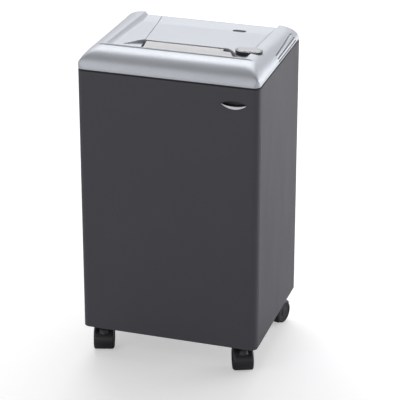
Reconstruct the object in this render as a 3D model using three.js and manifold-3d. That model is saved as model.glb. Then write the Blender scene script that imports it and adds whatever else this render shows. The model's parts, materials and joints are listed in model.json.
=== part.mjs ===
// Office paper shredder on casters: a boarded cabinet with a hinged front door, a shred bin inside,
// and a cutting head that hangs through the cabinet's top under a silver hood.
// Millimetres, +Z up. The origin is on the floor, under the middle of the cabinet.
// +X is the right-hand side as seen from the front, and the front looks along -Y.
import * as THREE from "three";
import { mergeVertices } from "three/addons/utils/BufferGeometryUtils.js";
import Module from "manifold-3d";

const wasm = await Module();
wasm.setup();

// ---- driving dimensions ----
const width = 395;
const depth = 317;
const cabinetHeight = 600;
const casterHeight = 72;
const touchGap = 0.3; // between pieces that touch on the real machine
const runGap = 0.6; // between pieces that move past each other

// boards
const boardThick = 16;
const backThick = 8;
const doorThick = 15;
const doorSeam = 2; // between the door and the front edges of the boards
const edgeRadius = 14.4; // rounding of the door's upright edges

// hood
const hoodLift = 4; // dark gap between the cabinet and the hood
const crownRise = 45; // top of the front roll above the cabinet
const crownY = 54; // the roll's crown, behind the front
const crownFlat = 5;
const rollBack = 13; // from the crown down to the recess
const ridgeInset = 45; // side ridges, in from the sides
const ridgeBackRise = 29;
const dishFrontRise = 37.5;
const dishBackRise = 19;
const hoodWall = 3;
const panelThick = 3;
const panelGap = 0.4;
const panelSeam = 1.2; // the wider seam along the panel's left edge

// feed recess in the hood, measured from the middle of the machine
const recessFront = -94;
const recessBack = -19;
const recessLeft = 90;
const recessRight = 86;
const recessTail = 55; // how far the left end's tail runs on
const panelFront = -21;
const panelRight = 147;
const panelLeftFront = 92;
const panelLeftBack = 113;

// cutting head
const feedWidth = 251; // between the side plates
const nipY = -78; // where the two cutters meet
const cutterDrop = 38; // cutter axes below the cabinet's top
const shaftRadius = 8;
const gearModule = 2;
const syncTeeth = 15;
const discRadius = 17.5;
const discRoot = 10.5;
const discCount = 10;
const discPitch = 24;
const plateThick = 5;
const bushWall = 3;
const idlerBigTeeth = 32;
const idlerSmallTeeth = 10;
const driveTeeth = 30;
const pinionTeeth = 10;
const motorRadius = 34;
const motorLength = 104;
const motorY = 14;
const motorDrop = 40;
const gearWidth = 9;

// shred bin
const binWall = 2.5;
const binSide = 9; // clearance to the side boards
const binEnd = 8; // clearance to the door side and to the back
const binCorner = 18;
const binRimOut = 5; // the rim stands out from the body by this
const binRimTall = 10;
const dropRoom = 69; // free fall between the cutting head and the bin

// casters
const wheelRadius = 25;
const wheelWidth = 14;
const wheelInner = 8.5; // from the caster's middle to a wheel's inner face
const casterTrail = 16;
const casterX = 161;
const casterFrontY = -127;
const casterRearY = 112;
const fenderThick = 2.3;
const stemRadius = 4.2;

// door furniture
const hingePin = 1;
const knuckleRadius = 2.2;
const leafThick = 0.6;
const leafWidth = 13;
const pullHalf = 28.5; // half the length of the door pull
const pullX = 144;
const pullDrop = 36; // below the top of the door

// ---- levels worked out from them ----
const cabinetTop = casterHeight + cabinetHeight;
const hoodBottom = cabinetTop + hoodLift;
const frontY = -depth / 2;
const backY = depth / 2;
const doorBack = frontY + doorThick;
const boardFront = doorBack + doorSeam;
const innerHalf = width / 2 - boardThick;
const cutterZ = cabinetTop - cutterDrop;
const headLow = cabinetTop - 88; // the cutting head reaches down to here
const cutterSpacing = gearModule * syncTeeth;
const frontShaftY = nipY - cutterSpacing / 2;
const rearShaftY = nipY + cutterSpacing / 2;
const plateInner = feedWidth / 2;
const plateOuter = plateInner + plateThick;

// ---- materials ----
const finish = (color, roughness, metalness) =>
  new THREE.MeshStandardMaterial({ color, roughness, metalness });
const materials = {
  laminate: finish(0x47474c, 0.55, 0.0),
  silver: finish(0xc9ccd2, 0.35, 0.4),
  blackPlastic: finish(0x1b1b20, 0.5, 0.0),
  rubber: finish(0x202024, 0.8, 0.0),
  steel: finish(0x9a9ca0, 0.35, 0.9),
  darkSteel: finish(0x56585c, 0.4, 0.8),
  chrome: finish(0xdcdde0, 0.08, 1.0),
  clearFlap: finish(0xe8e4e6, 0.25, 0.0),
  binPlastic: finish(0x3a3b40, 0.6, 0.0),
  circuit: finish(0x2f6b45, 0.6, 0.1),
  brass: finish(0xb08d4c, 0.35, 0.9),
  smokedGlass: finish(0x2c2f35, 0.2, 0.0),
};

// ---- solids ----
// A closed geometry as a solid that can be joined and cut.
function solid(geometry) {
  const bare = geometry.index ? geometry.toNonIndexed() : geometry.clone();
  bare.deleteAttribute("normal");
  bare.deleteAttribute("uv");
  const merged = mergeVertices(bare, 1e-4);
  return new wasm.Manifold(
    new wasm.Mesh({
      numProp: 3,
      vertProperties: merged.attributes.position.array,
      triVerts: new Uint32Array(merged.index.array),
    }),
  );
}

// A solid back as a geometry.
function geometryOf(made) {
  const mesh = made.getMesh();
  const geometry = new THREE.BufferGeometry();
  const stride = mesh.numProp;
  const count = mesh.vertProperties.length / stride;
  const positions = new Float32Array(count * 3);
  for (let i = 0; i < count; i += 1) {
    for (let k = 0; k < 3; k += 1) positions[i * 3 + k] = mesh.vertProperties[i * stride + k];
  }
  geometry.setAttribute("position", new THREE.BufferAttribute(positions, 3));
  geometry.setIndex(new THREE.BufferAttribute(new Uint32Array(mesh.triVerts), 1));
  geometry.computeVertexNormals();
  return geometry;
}

const joined = (first, ...rest) => rest.reduce((sum, part) => sum.add(part), first);
const less = (first, ...rest) => rest.reduce((left, part) => left.subtract(part), first);

// A box given by its low and high corners.
function block(low, high) {
  const size = low.map((value, i) => high[i] - value);
  const middle = low.map((value, i) => (high[i] + value) / 2);
  return solid(new THREE.BoxGeometry(...size).translate(...middle));
}

const shapeOf = (points) => new THREE.Shape(points.map(([x, y]) => new THREE.Vector2(x, y)));

function extruded(shape, length, curveSegments = 6) {
  return new THREE.ExtrudeGeometry(shape, { depth: length, bevelEnabled: false, curveSegments });
}

// An outline in (x, y) raised from low to high.
function prismZ(shape, low, high, curveSegments) {
  return solid(extruded(shape, high - low, curveSegments).translate(0, 0, low));
}

// An outline in (y, z) run along X.
function prismX(shape, low, high, curveSegments) {
  const turn = new THREE.Matrix4().makeBasis(
    new THREE.Vector3(0, 1, 0),
    new THREE.Vector3(0, 0, 1),
    new THREE.Vector3(1, 0, 0),
  );
  return solid(extruded(shape, high - low, curveSegments).applyMatrix4(turn).translate(low, 0, 0));
}

// An outline in (x, z) run along Y.
function prismY(shape, low, high, curveSegments) {
  const turn = new THREE.Matrix4().makeBasis(
    new THREE.Vector3(1, 0, 0),
    new THREE.Vector3(0, 0, 1),
    new THREE.Vector3(0, -1, 0),
  );
  return solid(extruded(shape, high - low, curveSegments).applyMatrix4(turn).translate(0, high, 0));
}

// A turned solid about an axis along Z or X, through a point. The profile holds (radius, along).
function turned(profile, segments, axis = "z", at = [0, 0, 0]) {
  const points = profile.map(([radius, along]) => new THREE.Vector2(radius, along));
  const geometry = new THREE.LatheGeometry(points, segments);
  geometry.rotateX(Math.PI / 2);
  if (axis === "x") geometry.rotateY(Math.PI / 2);
  geometry.translate(...at);
  const made = solid(geometry);
  return made.volume() < 0 ? solid(flipped(geometry)) : made;
}

function flipped(geometry) {
  const loose = geometry.toNonIndexed();
  const position = loose.getAttribute("position");
  for (let i = 0; i < position.count; i += 3) {
    const [x, y, z] = [position.getX(i), position.getY(i), position.getZ(i)];
    position.setXYZ(i, position.getX(i + 1), position.getY(i + 1), position.getZ(i + 1));
    position.setXYZ(i + 1, x, y, z);
  }
  return loose;
}

const rod = (radius, low, high, segments, axis, at) =>
  turned([[0, low], [radius, low], [radius, high], [0, high]], segments, axis, at);

function roundedRectangle(halfX, halfY, radius, centreX = 0, centreY = 0) {
  const shape = new THREE.Shape();
  const [left, right] = [centreX - halfX, centreX + halfX];
  const [low, high] = [centreY - halfY, centreY + halfY];
  shape.moveTo(left + radius, low);
  shape.lineTo(right - radius, low);
  shape.absarc(right - radius, low + radius, radius, -Math.PI / 2, 0);
  shape.lineTo(right, high - radius);
  shape.absarc(right - radius, high - radius, radius, 0, Math.PI / 2);
  shape.lineTo(left + radius, high);
  shape.absarc(left + radius, high - radius, radius, Math.PI / 2, Math.PI);
  shape.lineTo(left, low + radius);
  shape.absarc(left + radius, low + radius, radius, Math.PI, 1.5 * Math.PI);
  return shape;
}

// ---- the object ----
const shredder = new THREE.Group();

function add(name, made, material, parent = shredder) {
  const mesh = new THREE.Mesh(geometryOf(made), material);
  mesh.name = name;
  parent.add(mesh);
  return mesh;
}

// ---- cabinet and door ----
const hingeX = -width / 2 + knuckleRadius;
const hingeY = (doorBack + boardFront) / 2;
const hingeLow = casterHeight + 22;
const hingeHigh = cabinetTop - 22;
const doorGroove = knuckleRadius + 0.8;
const boardGroove = knuckleRadius + 2;

function addCabinet() {
  const backInner = backY - backThick;
  const baseTop = casterHeight + boardThick;
  const groove = rod(boardGroove, casterHeight - 1, cabinetTop + 1, 16, "z", [hingeX, hingeY, 0]);
  const leafRebate = block(
    [-width / 2 - 1, boardFront - 1, hingeLow - touchGap],
    [hingeX + leafWidth + touchGap, boardFront + leafThick - 0.2, hingeHigh + touchGap],
  );
  const left = block([-width / 2, boardFront, casterHeight], [-innerHalf, backY, cabinetTop]);
  const right = block([innerHalf, boardFront, casterHeight], [width / 2, backY, cabinetTop]);
  const inside = innerHalf - touchGap;
  const base = block([-inside, boardFront, casterHeight], [inside, backInner - touchGap, baseTop]);
  const inletHole = block(
    [inletX - inletHalfX - touchGap, backInner - 1, inletZ - inletHalfZ - touchGap],
    [inletX + inletHalfX + touchGap, backY + 1, inletZ + inletHalfZ + touchGap],
  );
  const back = block([-inside, backInner, casterHeight], [inside, backY, cabinetTop]);
  add("left_board", less(left, groove, leafRebate), materials.laminate);
  add("right_board", right, materials.laminate);
  add("base_board", base, materials.laminate);
  add("back_board", less(back, inletHole), materials.laminate);
}

// The door pull is a half-moon pocket with a bright crescent lip along its lower edge.
const pullZ = cabinetTop - pullDrop;
const pullRise = 7; // the pocket above its widest line
const pullFall = 11; // the crescent below it
const cupDepth = 10;
const cupWall = 1.2;

function pullOutline(grow) {
  const shape = new THREE.Shape();
  const half = pullHalf + grow;
  shape.moveTo(pullX - half, pullZ);
  shape.quadraticCurveTo(pullX, pullZ - 2 * (pullFall + grow), pullX + half, pullZ);
  shape.quadraticCurveTo(pullX, pullZ + 2 * (pullRise + grow), pullX - half, pullZ);
  return shape;
}

function addDoor() {
  const outline = new THREE.Shape();
  const half = width / 2;
  outline.moveTo(-half, doorBack);
  outline.absarc(-half + edgeRadius, frontY + edgeRadius, edgeRadius, Math.PI, 1.5 * Math.PI);
  outline.absarc(half - edgeRadius, frontY + edgeRadius, edgeRadius, -Math.PI / 2, 0);
  outline.lineTo(half, doorBack);
  const slab = prismZ(outline, casterHeight, cabinetTop, 7);
  const groove = rod(doorGroove, casterHeight - 1, cabinetTop + 1, 16, "z", [hingeX, hingeY, 0]);
  const leafRebate = block(
    [-width / 2 - 1, doorBack - leafThick + 0.2, hingeLow - touchGap],
    [hingeX + leafWidth + touchGap, doorBack + 1, hingeHigh + touchGap],
  );
  const pocket = prismY(pullOutline(touchGap), frontY - 1, frontY + cupDepth + touchGap, 10);
  add("door", less(slab, groove, leafRebate, pocket), materials.laminate);

  const cup = prismY(pullOutline(0), frontY + 0.2, frontY + cupDepth, 10);
  const hollow = prismY(pullOutline(-cupWall), frontY - 1, frontY + cupDepth - cupWall, 10);
  const lipSeat = block(
    [pullX - pullHalf - 5, frontY - 1, pullZ - pullFall - 5],
    [pullX + pullHalf + 5, frontY + 3 + touchGap, pullZ + 0.2],
  );
  add("pull_cup", less(cup, hollow, lipSeat), materials.blackPlastic);

  const lip = new THREE.Shape();
  const lipHalf = pullHalf - 0.2;
  lip.moveTo(pullX - lipHalf, pullZ - 0.3);
  lip.quadraticCurveTo(pullX, pullZ - 2 * pullFall, pullX + lipHalf, pullZ - 0.3);
  lip.quadraticCurveTo(pullX, pullZ - 2 * pullFall + 9, pullX - lipHalf, pullZ - 0.3);
  add("pull_lip", prismY(lip, frontY + 0.1, frontY + 3, 10), materials.chrome);

  const strikeZ = cabinetTop - 60;
  const strike = block(
    [innerHalf - 34, doorBack + touchGap, strikeZ - 8],
    [innerHalf - 6, doorBack + 1.4, strikeZ + 8],
  );
  add("door_strike", strike, materials.steel);
  const catchBody = block(
    [innerHalf - 32, boardFront + touchGap, strikeZ - 7],
    [innerHalf - touchGap, boardFront + 15, strikeZ + 7],
  );
  add("door_catch", catchBody, materials.blackPlastic);
}

// One leaf of the piano hinge: a strip with every second knuckle.
function hingeLeaf(stripFront, stripBack, odd) {
  const count = 9;
  const pitch = (hingeHigh - hingeLow) / count;
  const strip = block([hingeX, stripFront, hingeLow], [hingeX + leafWidth, stripBack, hingeHigh]);
  const bore = hingePin + 0.2;
  const axle = [hingeX, hingeY, 0];
  let leaf = less(strip, rod(knuckleRadius + 0.5, hingeLow - 1, hingeHigh + 1, 12, "z", axle));
  for (let i = odd; i < count; i += 2) {
    const low = hingeLow + i * pitch + touchGap / 2;
    const high = low + pitch - touchGap;
    const knuckle = rod(knuckleRadius, low, high, 10, "z", axle);
    const tab = block([hingeX, stripFront, low], [hingeX + knuckleRadius + 2, stripBack, high]);
    leaf = joined(leaf, knuckle, tab);
  }
  return less(leaf, rod(bore, hingeLow - 2, hingeHigh + 2, 8, "z", axle));
}

function addHinge() {
  const doorLeaf = hingeLeaf(doorBack - 0.1, doorBack + leafThick - 0.1, 1);
  const boardLeaf = hingeLeaf(boardFront - leafThick + 0.1, boardFront + 0.1, 0);
  add("hinge_leaf_door", doorLeaf, materials.steel);
  add("hinge_leaf_board", boardLeaf, materials.steel);
  const pin = rod(hingePin, hingeLow + 1, hingeHigh - 1, 8, "z", [hingeX, hingeY, 0]);
  add("hinge_pin", pin, materials.steel);
}

// ---- shred bin ----
function addBin() {
  const halfX = innerHalf - binSide;
  const low = boardFront + binEnd;
  const high = backY - backThick - binEnd;
  const middle = (low + high) / 2;
  const halfY = (high - low) / 2;
  const floor = casterHeight + boardThick + touchGap;
  const top = headLow - dropRoom;
  const outline = (inset) =>
    roundedRectangle(halfX - inset, halfY - inset, binCorner + binRimOut - inset, 0, middle);
  const body = prismZ(outline(binRimOut), floor, top, 4);
  const rim = prismZ(outline(0), top - binRimTall, top, 4);
  const hollow = prismZ(outline(binRimOut + binWall), floor + binWall, top + 1, 4);
  add("shred_bin", less(joined(body, rim), hollow), materials.binPlastic);
}

// ---- hood ----
const quarter = [0, 15, 30, 45, 60, 75, 90].map((angle) => Math.sin((angle * Math.PI) / 180));

// Height of the hood's skin over the cabinet's top, at a point of the plan.
// With an inset, it is the height of the skin that far inside.
function hoodRise(x, y, inset) {
  const fromFront = y - frontY;
  const along = (y - frontY - crownY) / (depth - crownY);
  const back = Math.min(1, Math.max(0, along));
  const rollRise = crownRise - inset - hoodLift;
  let roll = rollRise;
  if (fromFront < crownY) {
    const reach = Math.min(1, (crownY - fromFront) / (crownY - inset));
    roll = rollRise * Math.sqrt(1 - reach * reach);
  } else if (fromFront > crownY + crownFlat - 2 * inset) {
    const reach = Math.min(1, (fromFront - crownY - crownFlat + 2 * inset) / rollBack);
    roll = rollRise * (1 - 0.55 * reach * reach);
  }
  const ridge = THREE.MathUtils.lerp(crownRise, ridgeBackRise, back) - inset - hoodLift;
  const ridgeX = width / 2 - ridgeInset;
  const out = Math.min(1, Math.max(0, (Math.abs(x) - ridgeX) / (ridgeInset - inset)));
  const side = ridge * Math.sqrt(1 - out * out);
  const dishLow = THREE.MathUtils.lerp(dishFrontRise, dishBackRise, back) - inset - hoodLift;
  const inward = Math.min(1, Math.max(0, (ridgeX - Math.abs(x)) / 14));
  const dish = THREE.MathUtils.lerp(ridge, dishLow, inward * (2 - inward));
  const behindCrown = fromFront > crownY + crownFlat / 2 ? dish : 0;
  const inner = Math.max(roll, behindCrown);
  return hoodLift + Math.min(side, inner);
}

// A block whose top and bottom are heights over a grid of stations.
function heightBlock(xs, ys, top, bottom) {
  const corners = [];
  const faces = [];
  const grid = (level) => ys.map((y) => xs.map((x) => corners.push(x, y, level(x, y)) / 3 - 1));
  const upper = grid(top);
  const lower = grid(bottom);
  const level = (index) => corners[index * 3 + 2];
  const quad = (a, b, c, d) => faces.push(a, b, c, a, c, d);
  for (let j = 0; j + 1 < ys.length; j += 1) {
    for (let i = 0; i + 1 < xs.length; i += 1) {
      const [a, b, c, d] = [upper[j][i], upper[j][i + 1], upper[j + 1][i + 1], upper[j + 1][i]];
      if (level(a) + level(c) >= level(b) + level(d)) quad(a, b, c, d);
      else quad(b, c, d, a);
      quad(lower[j + 1][i], lower[j + 1][i + 1], lower[j][i + 1], lower[j][i]);
    }
  }
  const last = xs.length - 1;
  const end = ys.length - 1;
  for (let i = 0; i < last; i += 1) {
    quad(lower[0][i], lower[0][i + 1], upper[0][i + 1], upper[0][i]);
    quad(lower[end][i + 1], lower[end][i], upper[end][i], upper[end][i + 1]);
  }
  for (let j = 0; j < end; j += 1) {
    quad(lower[j + 1][0], lower[j][0], upper[j][0], upper[j + 1][0]);
    quad(lower[j][last], lower[j + 1][last], upper[j + 1][last], upper[j][last]);
  }
  const geometry = new THREE.BufferGeometry();
  geometry.setAttribute("position", new THREE.Float32BufferAttribute(corners, 3));
  geometry.setIndex(faces);
  return solid(geometry);
}

// Stations that follow the hood's curves, inset from its outside.
function hoodStations(inset) {
  const ridgeX = width / 2 - ridgeInset;
  const side = quarter.map((step) => ridgeX + (ridgeInset - inset) * step);
  const dish = [ridgeX - 3.5, ridgeX - 7, ridgeX - 14];
  const half = [0, ...dish.reverse(), ...side];
  const xs = [...half.slice(1).map((x) => -x).reverse(), ...half];
  const crown = frontY + crownY;
  const roll = quarter.map((step) => crown - (crownY - inset) * step).reverse();
  const behind = crown + crownFlat - 2 * inset;
  const ys = [...roll, crown + crownFlat / 2, behind, behind + rollBack / 2, behind + rollBack];
  return [xs, [...new Set([...ys, panelFront - 4, 40, backY - inset])].sort((a, b) => a - b)];
}

function hoodPlan(inset) {
  const shape = new THREE.Shape();
  const half = width / 2 - inset;
  const radius = edgeRadius - inset;
  const front = frontY + inset;
  shape.moveTo(-half, backY - inset);
  shape.lineTo(-half, front + radius);
  shape.absarc(-half + radius, front + radius, radius, Math.PI, 1.5 * Math.PI);
  shape.absarc(half - radius, front + radius, radius, -Math.PI / 2, 0);
  shape.lineTo(half, backY - inset);
  return shape;
}

function hoodBody(inset, low, drop = 0) {
  const [xs, ys] = hoodStations(inset);
  const rise = (x, y) => cabinetTop + Math.max(low - cabinetTop + 0.5, hoodRise(x, y, inset) - drop);
  const field = heightBlock(xs, ys, rise, () => low);
  return field.intersect(prismZ(hoodPlan(inset), low - 1, cabinetTop + crownRise + 20, 6));
}

// The recess behind the roll, with a tail that runs out to the left.
function recessOutline(grow) {
  const shape = new THREE.Shape();
  const front = recessFront - grow;
  const back = recessBack + grow;
  const tail = -recessLeft - recessTail - grow;
  shape.moveTo(tail, front);
  shape.lineTo(recessRight + 44 + grow, front);
  shape.quadraticCurveTo(recessRight + 40 + grow, -62, recessRight + 22 + grow, -39 + grow);
  shape.quadraticCurveTo(recessRight + 8, back, recessRight - 6, back);
  shape.lineTo(-recessLeft, back);
  shape.bezierCurveTo(-recessLeft - 14 - grow, back, -recessLeft - 34 - grow, -72, tail, front + 5);
  return shape;
}

function panelOutline(gapSide, gapFront) {
  return shapeOf([
    [-panelLeftFront - gapSide, panelFront - gapFront],
    [panelRight + gapFront, panelFront - gapFront],
    [panelRight + gapFront, backY - 4 + gapFront],
    [-panelLeftBack - gapSide, backY - 4 + gapFront],
  ]);
}

// The skin between the hood's surface and a depth under it.
function hoodLayer(outline, depthUnder) {
  const [xs, ys] = hoodStations(0);
  const layer = heightBlock(
    xs,
    ys,
    (x, y) => cabinetTop + hoodRise(x, y, 0) + (depthUnder > panelThick ? 5 : 0),
    (x, y) => cabinetTop + hoodRise(x, y, 0) - depthUnder,
  );
  return layer.intersect(prismZ(outline, cabinetTop, cabinetTop + crownRise + 20, 6));
}

const skirtLow = cabinetTop + 15; // the recess walls reach down to here
const ventLevels = [21.5, 14.5, 8.2];
const ventHeight = 2.2;
const ventFront = -8;
const ventBack = 132;
const rockerX = 144;
const rockerY = -48;
const rockerHalf = 25;
const rockerDeep = 12.5;
const rockerTop = cabinetTop + 45.5;
const bezelRim = 2.4;
const bezelDeep = 14;
const windowX = 76;
const windowY = 114;

function oval(halfX, halfY, centreX, centreY) {
  return roundedRectangle(halfX, halfY, halfY - 0.01, centreX, centreY);
}

function addHood() {
  const skin = hoodBody(0, hoodBottom);
  const pocketDrop = panelThick + panelGap;
  const hollow = hoodBody(hoodWall, hoodBottom - 1);
  const panelZone = prismZ(panelOutline(hoodWall, hoodWall), hoodBottom - 2, cabinetTop + 60);
  const lowHollow = hoodBody(hoodWall, hoodBottom - 1, pocketDrop);
  const skirt = prismZ(recessOutline(2.4), skirtLow, cabinetTop + 60, 6);
  const bossOutline = oval(rockerHalf + 5, rockerDeep + 5, rockerX, rockerY);
  const rockerBoss = prismZ(bossOutline, hoodBottom + 14, cabinetTop + 60, 6);
  const room = less(joined(less(hollow, panelZone), lowHollow.intersect(panelZone)), skirt, rockerBoss);
  const recess = prismZ(recessOutline(0), hoodBottom - 5, cabinetTop + 80, 6);
  const pocket = hoodLayer(panelOutline(panelSeam, panelGap), pocketDrop);
  const bezelOuter = bezelRim + touchGap;
  const bezelHole = prismZ(
    oval(rockerHalf + bezelOuter, rockerDeep + bezelOuter, rockerX, rockerY),
    rockerTop - bezelDeep - touchGap,
    rockerTop + 20,
    6,
  );
  let hood = less(skin, room, recess, pocket, bezelHole);
  for (const rise of ventLevels) {
    const low = cabinetTop + rise - ventHeight / 2;
    for (const sign of [-1, 1]) {
      const [near, far] = [sign * (width / 2 - 14), sign * (width / 2 + 2)].sort((a, b) => a - b);
      hood = hood.subtract(block([near, ventFront, low], [far, ventBack, low + ventHeight]));
    }
  }
  const rearSlots = 7;
  for (let i = 0; i < rearSlots; i += 1) {
    const x = (i - (rearSlots - 1) / 2) * 14;
    hood = hood.subtract(block([x - 3, backY - 8, hoodBottom + 3], [x + 3, backY + 2, hoodBottom + 8]));
  }
  add("hood", hood, materials.silver);

  const windowPocket = prismZ(oval(15.3, 6.3, windowX, windowY), cabinetTop, cabinetTop + 60, 6);
  const pocketSkin = hoodLayer(panelOutline(0, 0), 1.4);
  const panel = less(hoodLayer(panelOutline(0, 0), panelThick), windowPocket.intersect(pocketSkin));
  add("top_panel", panel, materials.silver);
  const lens = prismZ(oval(15, 6, windowX, windowY), cabinetTop, cabinetTop + 60, 6);
  add("indicator_window", lens.intersect(hoodLayer(panelOutline(0, 0), 1.1)), materials.smokedGlass);
}

// The oval rocker switch sits in a bezel at the right end of the recess.
const rockerPivotZ = rockerTop - 6;

function addRocker() {
  const outer = oval(rockerHalf + bezelRim, rockerDeep + bezelRim, rockerX, rockerY);
  const inner = oval(rockerHalf + runGap, rockerDeep + runGap, rockerX, rockerY);
  const bezel = less(
    prismZ(outer, rockerTop - bezelDeep, rockerTop - 1.5, 6),
    prismZ(inner, rockerTop - bezelDeep + 3, rockerTop + 5, 6),
  );
  add("rocker_bezel", bezel, materials.chrome);
  const along = new THREE.Shape();
  const half = rockerHalf - 0.4;
  const low = rockerTop - 6.5;
  along.moveTo(rockerX - half, low);
  along.lineTo(rockerX - 5, low - 1.4);
  along.lineTo(rockerX + 5, low - 1.4);
  along.lineTo(rockerX + half, low);
  along.lineTo(rockerX + half, rockerTop - 1.5);
  along.quadraticCurveTo(rockerX, rockerTop + 1.5, rockerX - half, rockerTop - 1.5);
  const cap = prismY(along, rockerY - rockerDeep, rockerY + rockerDeep, 6);
  const plan = prismZ(oval(half, rockerDeep - 0.4, rockerX, rockerY), low - 4, rockerTop + 4, 6);
  add("rocker", cap.intersect(plan), materials.chrome);
}

// ---- tray that the hood and the cutting head stand on ----
const trayRoom = 6; // around the gears
const syncGap = 2; // from a side plate to the gears beside it
const planeA = plateOuter + syncGap; // the drive gear and the idler's small gear
const planeB = planeA + gearWidth + syncGap; // the idler's big gear and the pinion
const plateBack = 66;

function addTray() {
  const low = cabinetTop + touchGap;
  const high = hoodBottom - touchGap;
  const plate = prismZ(hoodPlan(5), low, high, 5);
  const lipOuter = prismZ(hoodPlan(hoodWall + 1.6), low, hoodBottom + 4, 5);
  const lipInner = prismZ(hoodPlan(hoodWall + 3.4), low - 1, hoodBottom + 6, 5);
  const opening = block(
    [-plateOuter - syncGap - gearWidth - trayRoom, frontY + 38, low - 1],
    [planeB + gearWidth + trayRoom, plateBack + 4, high + 8],
  );
  const lip = less(lipOuter, lipInner).intersect(prismZ(hoodPlan(5), low, hoodBottom + 9, 5));
  add("head_tray", less(joined(plate, lip), opening), materials.blackPlastic);
}

// ---- cutting head ----
const bushOuter = shaftRadius + 0.3 + bushWall;
const idler = idlerCentre();

// The idler meshes with the drive gear on one side and the motor pinion on the other.
function idlerCentre() {
  const toDrive = (gearModule * (driveTeeth + idlerSmallTeeth)) / 2;
  const toMotor = (gearModule * (idlerBigTeeth + pinionTeeth)) / 2;
  const dy = motorY - rearShaftY;
  const dz = -motorDrop + cutterDrop;
  const span = Math.hypot(dy, dz);
  const near = (toDrive ** 2 - toMotor ** 2 + span ** 2) / (2 * span);
  const off = Math.sqrt(toDrive ** 2 - near ** 2);
  return [rearShaftY + (near * dy + off * dz) / span, cutterZ + (near * dz - off * dy) / span];
}

function addSidePlates() {
  const [low, high] = [cabinetTop - 78, cabinetTop + 14];
  const earLow = hoodBottom;
  const outline = shapeOf([
    [frontY + 41, low],
    [plateBack, low],
    [plateBack, earLow],
    [80, earLow],
    [80, high],
    [frontY + 28, high],
    [frontY + 28, earLow],
    [frontY + 41, earLow],
  ]);
  for (const [side, sign] of [["left", -1], ["right", 1]]) {
    const [near, far] = [sign * plateInner, sign * plateOuter].sort((a, b) => a - b);
    let plate = prismX(outline, near, far);
    for (const y of [frontShaftY, rearShaftY]) {
      plate = plate.subtract(rod(bushOuter + touchGap, near - 1, far + 1, 20, "x", [0, y, cutterZ]));
    }
    if (sign > 0) {
      plate = plate.subtract(rod(9, near - 1, far + 1, 16, "x", [0, motorY, cabinetTop - motorDrop]));
      plate = plate.subtract(rod(5.6, near - 1, far + 1, 16, "x", [0, ...idler]));
    }
    add("side_plate_" + side, plate, materials.steel);
  }
}

function addBushes() {
  for (const [end, y] of [["front", frontShaftY], ["rear", rearShaftY]]) {
    for (const [side, sign] of [["left", -1], ["right", 1]]) {
      const flange = bushOuter + 0.9;
      const bore = shaftRadius + 0.3;
      const profile = [
        [bore, plateInner - 0.8],
        [bushOuter, plateInner - 0.8],
        [bushOuter, plateOuter + touchGap],
        [flange, plateOuter + touchGap],
        [flange, plateOuter + 1.3],
        [bore, plateOuter + 1.3],
        [bore, plateInner - 0.8],
      ].map(([radius, along]) => [radius, sign * along]);
      add("bush_" + end + "_" + side, turned(profile, 12, "x", [0, y, cutterZ]), materials.brass);
    }
  }
}

// A cutter: a shaft turned with discs at an even pitch.
function cutter(firstDisc, leftEnd, rightEnd, y) {
  const profile = [[0, leftEnd], [shaftRadius - 0.2, leftEnd], [shaftRadius - 0.2, -plateInner + 1.2]];
  profile.push([discRoot, -plateInner + 1.2]);
  for (let i = 0; i < discCount; i += 1) {
    const low = firstDisc + i * discPitch;
    const high = low + discPitch / 2 - 0.9;
    profile.push([discRoot, low], [discRadius, low], [discRadius, high], [discRoot, high]);
  }
  profile.push([discRoot, plateInner - 1.2], [shaftRadius - 0.2, plateInner - 1.2]);
  profile.push([shaftRadius - 0.2, rightEnd], [0, rightEnd]);
  return turned(profile, 12, "x", [0, y, cutterZ]);
}

// A spur gear about an axis along X, with a round bore when it slides on a shaft.
function gear(teeth, low, high, bore, phase, centre) {
  const shape = new THREE.Shape();
  const pitch = (gearModule * teeth) / 2;
  const step = (2 * Math.PI) / teeth;
  const flank = [[-0.33, pitch - 1.2 * gearModule], [-0.14, pitch + 0.85 * gearModule]];
  const corner = [...flank, ...flank.map(([turn, radius]) => [-turn, radius]).reverse()];
  for (let i = 0; i < teeth; i += 1) {
    corner.forEach(([turn, radius], k) => {
      const angle = phase + (i + turn) * step;
      const point = [radius * Math.cos(angle), radius * Math.sin(angle)];
      if (i + k === 0) shape.moveTo(...point);
      else shape.lineTo(...point);
    });
  }
  if (bore > 0) {
    const hole = new THREE.Path();
    hole.absarc(0, 0, bore, 0, 2 * Math.PI, true);
    shape.holes.push(hole);
  }
  return prismX(shape, low, high, 8).translate([0, ...centre]);
}

// Phase that puts a gap of one gear where the line of centres meets the other's tooth.
function meshedPhase(teeth, fromCentre, toCentre, fromTeeth, fromPhase) {
  const line = Math.atan2(toCentre[1] - fromCentre[1], toCentre[0] - fromCentre[0]);
  const fromStep = (2 * Math.PI) / fromTeeth;
  const step = (2 * Math.PI) / teeth;
  const fraction = (line - fromPhase) / fromStep;
  return line + Math.PI + step * (0.5 + fraction);
}

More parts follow.
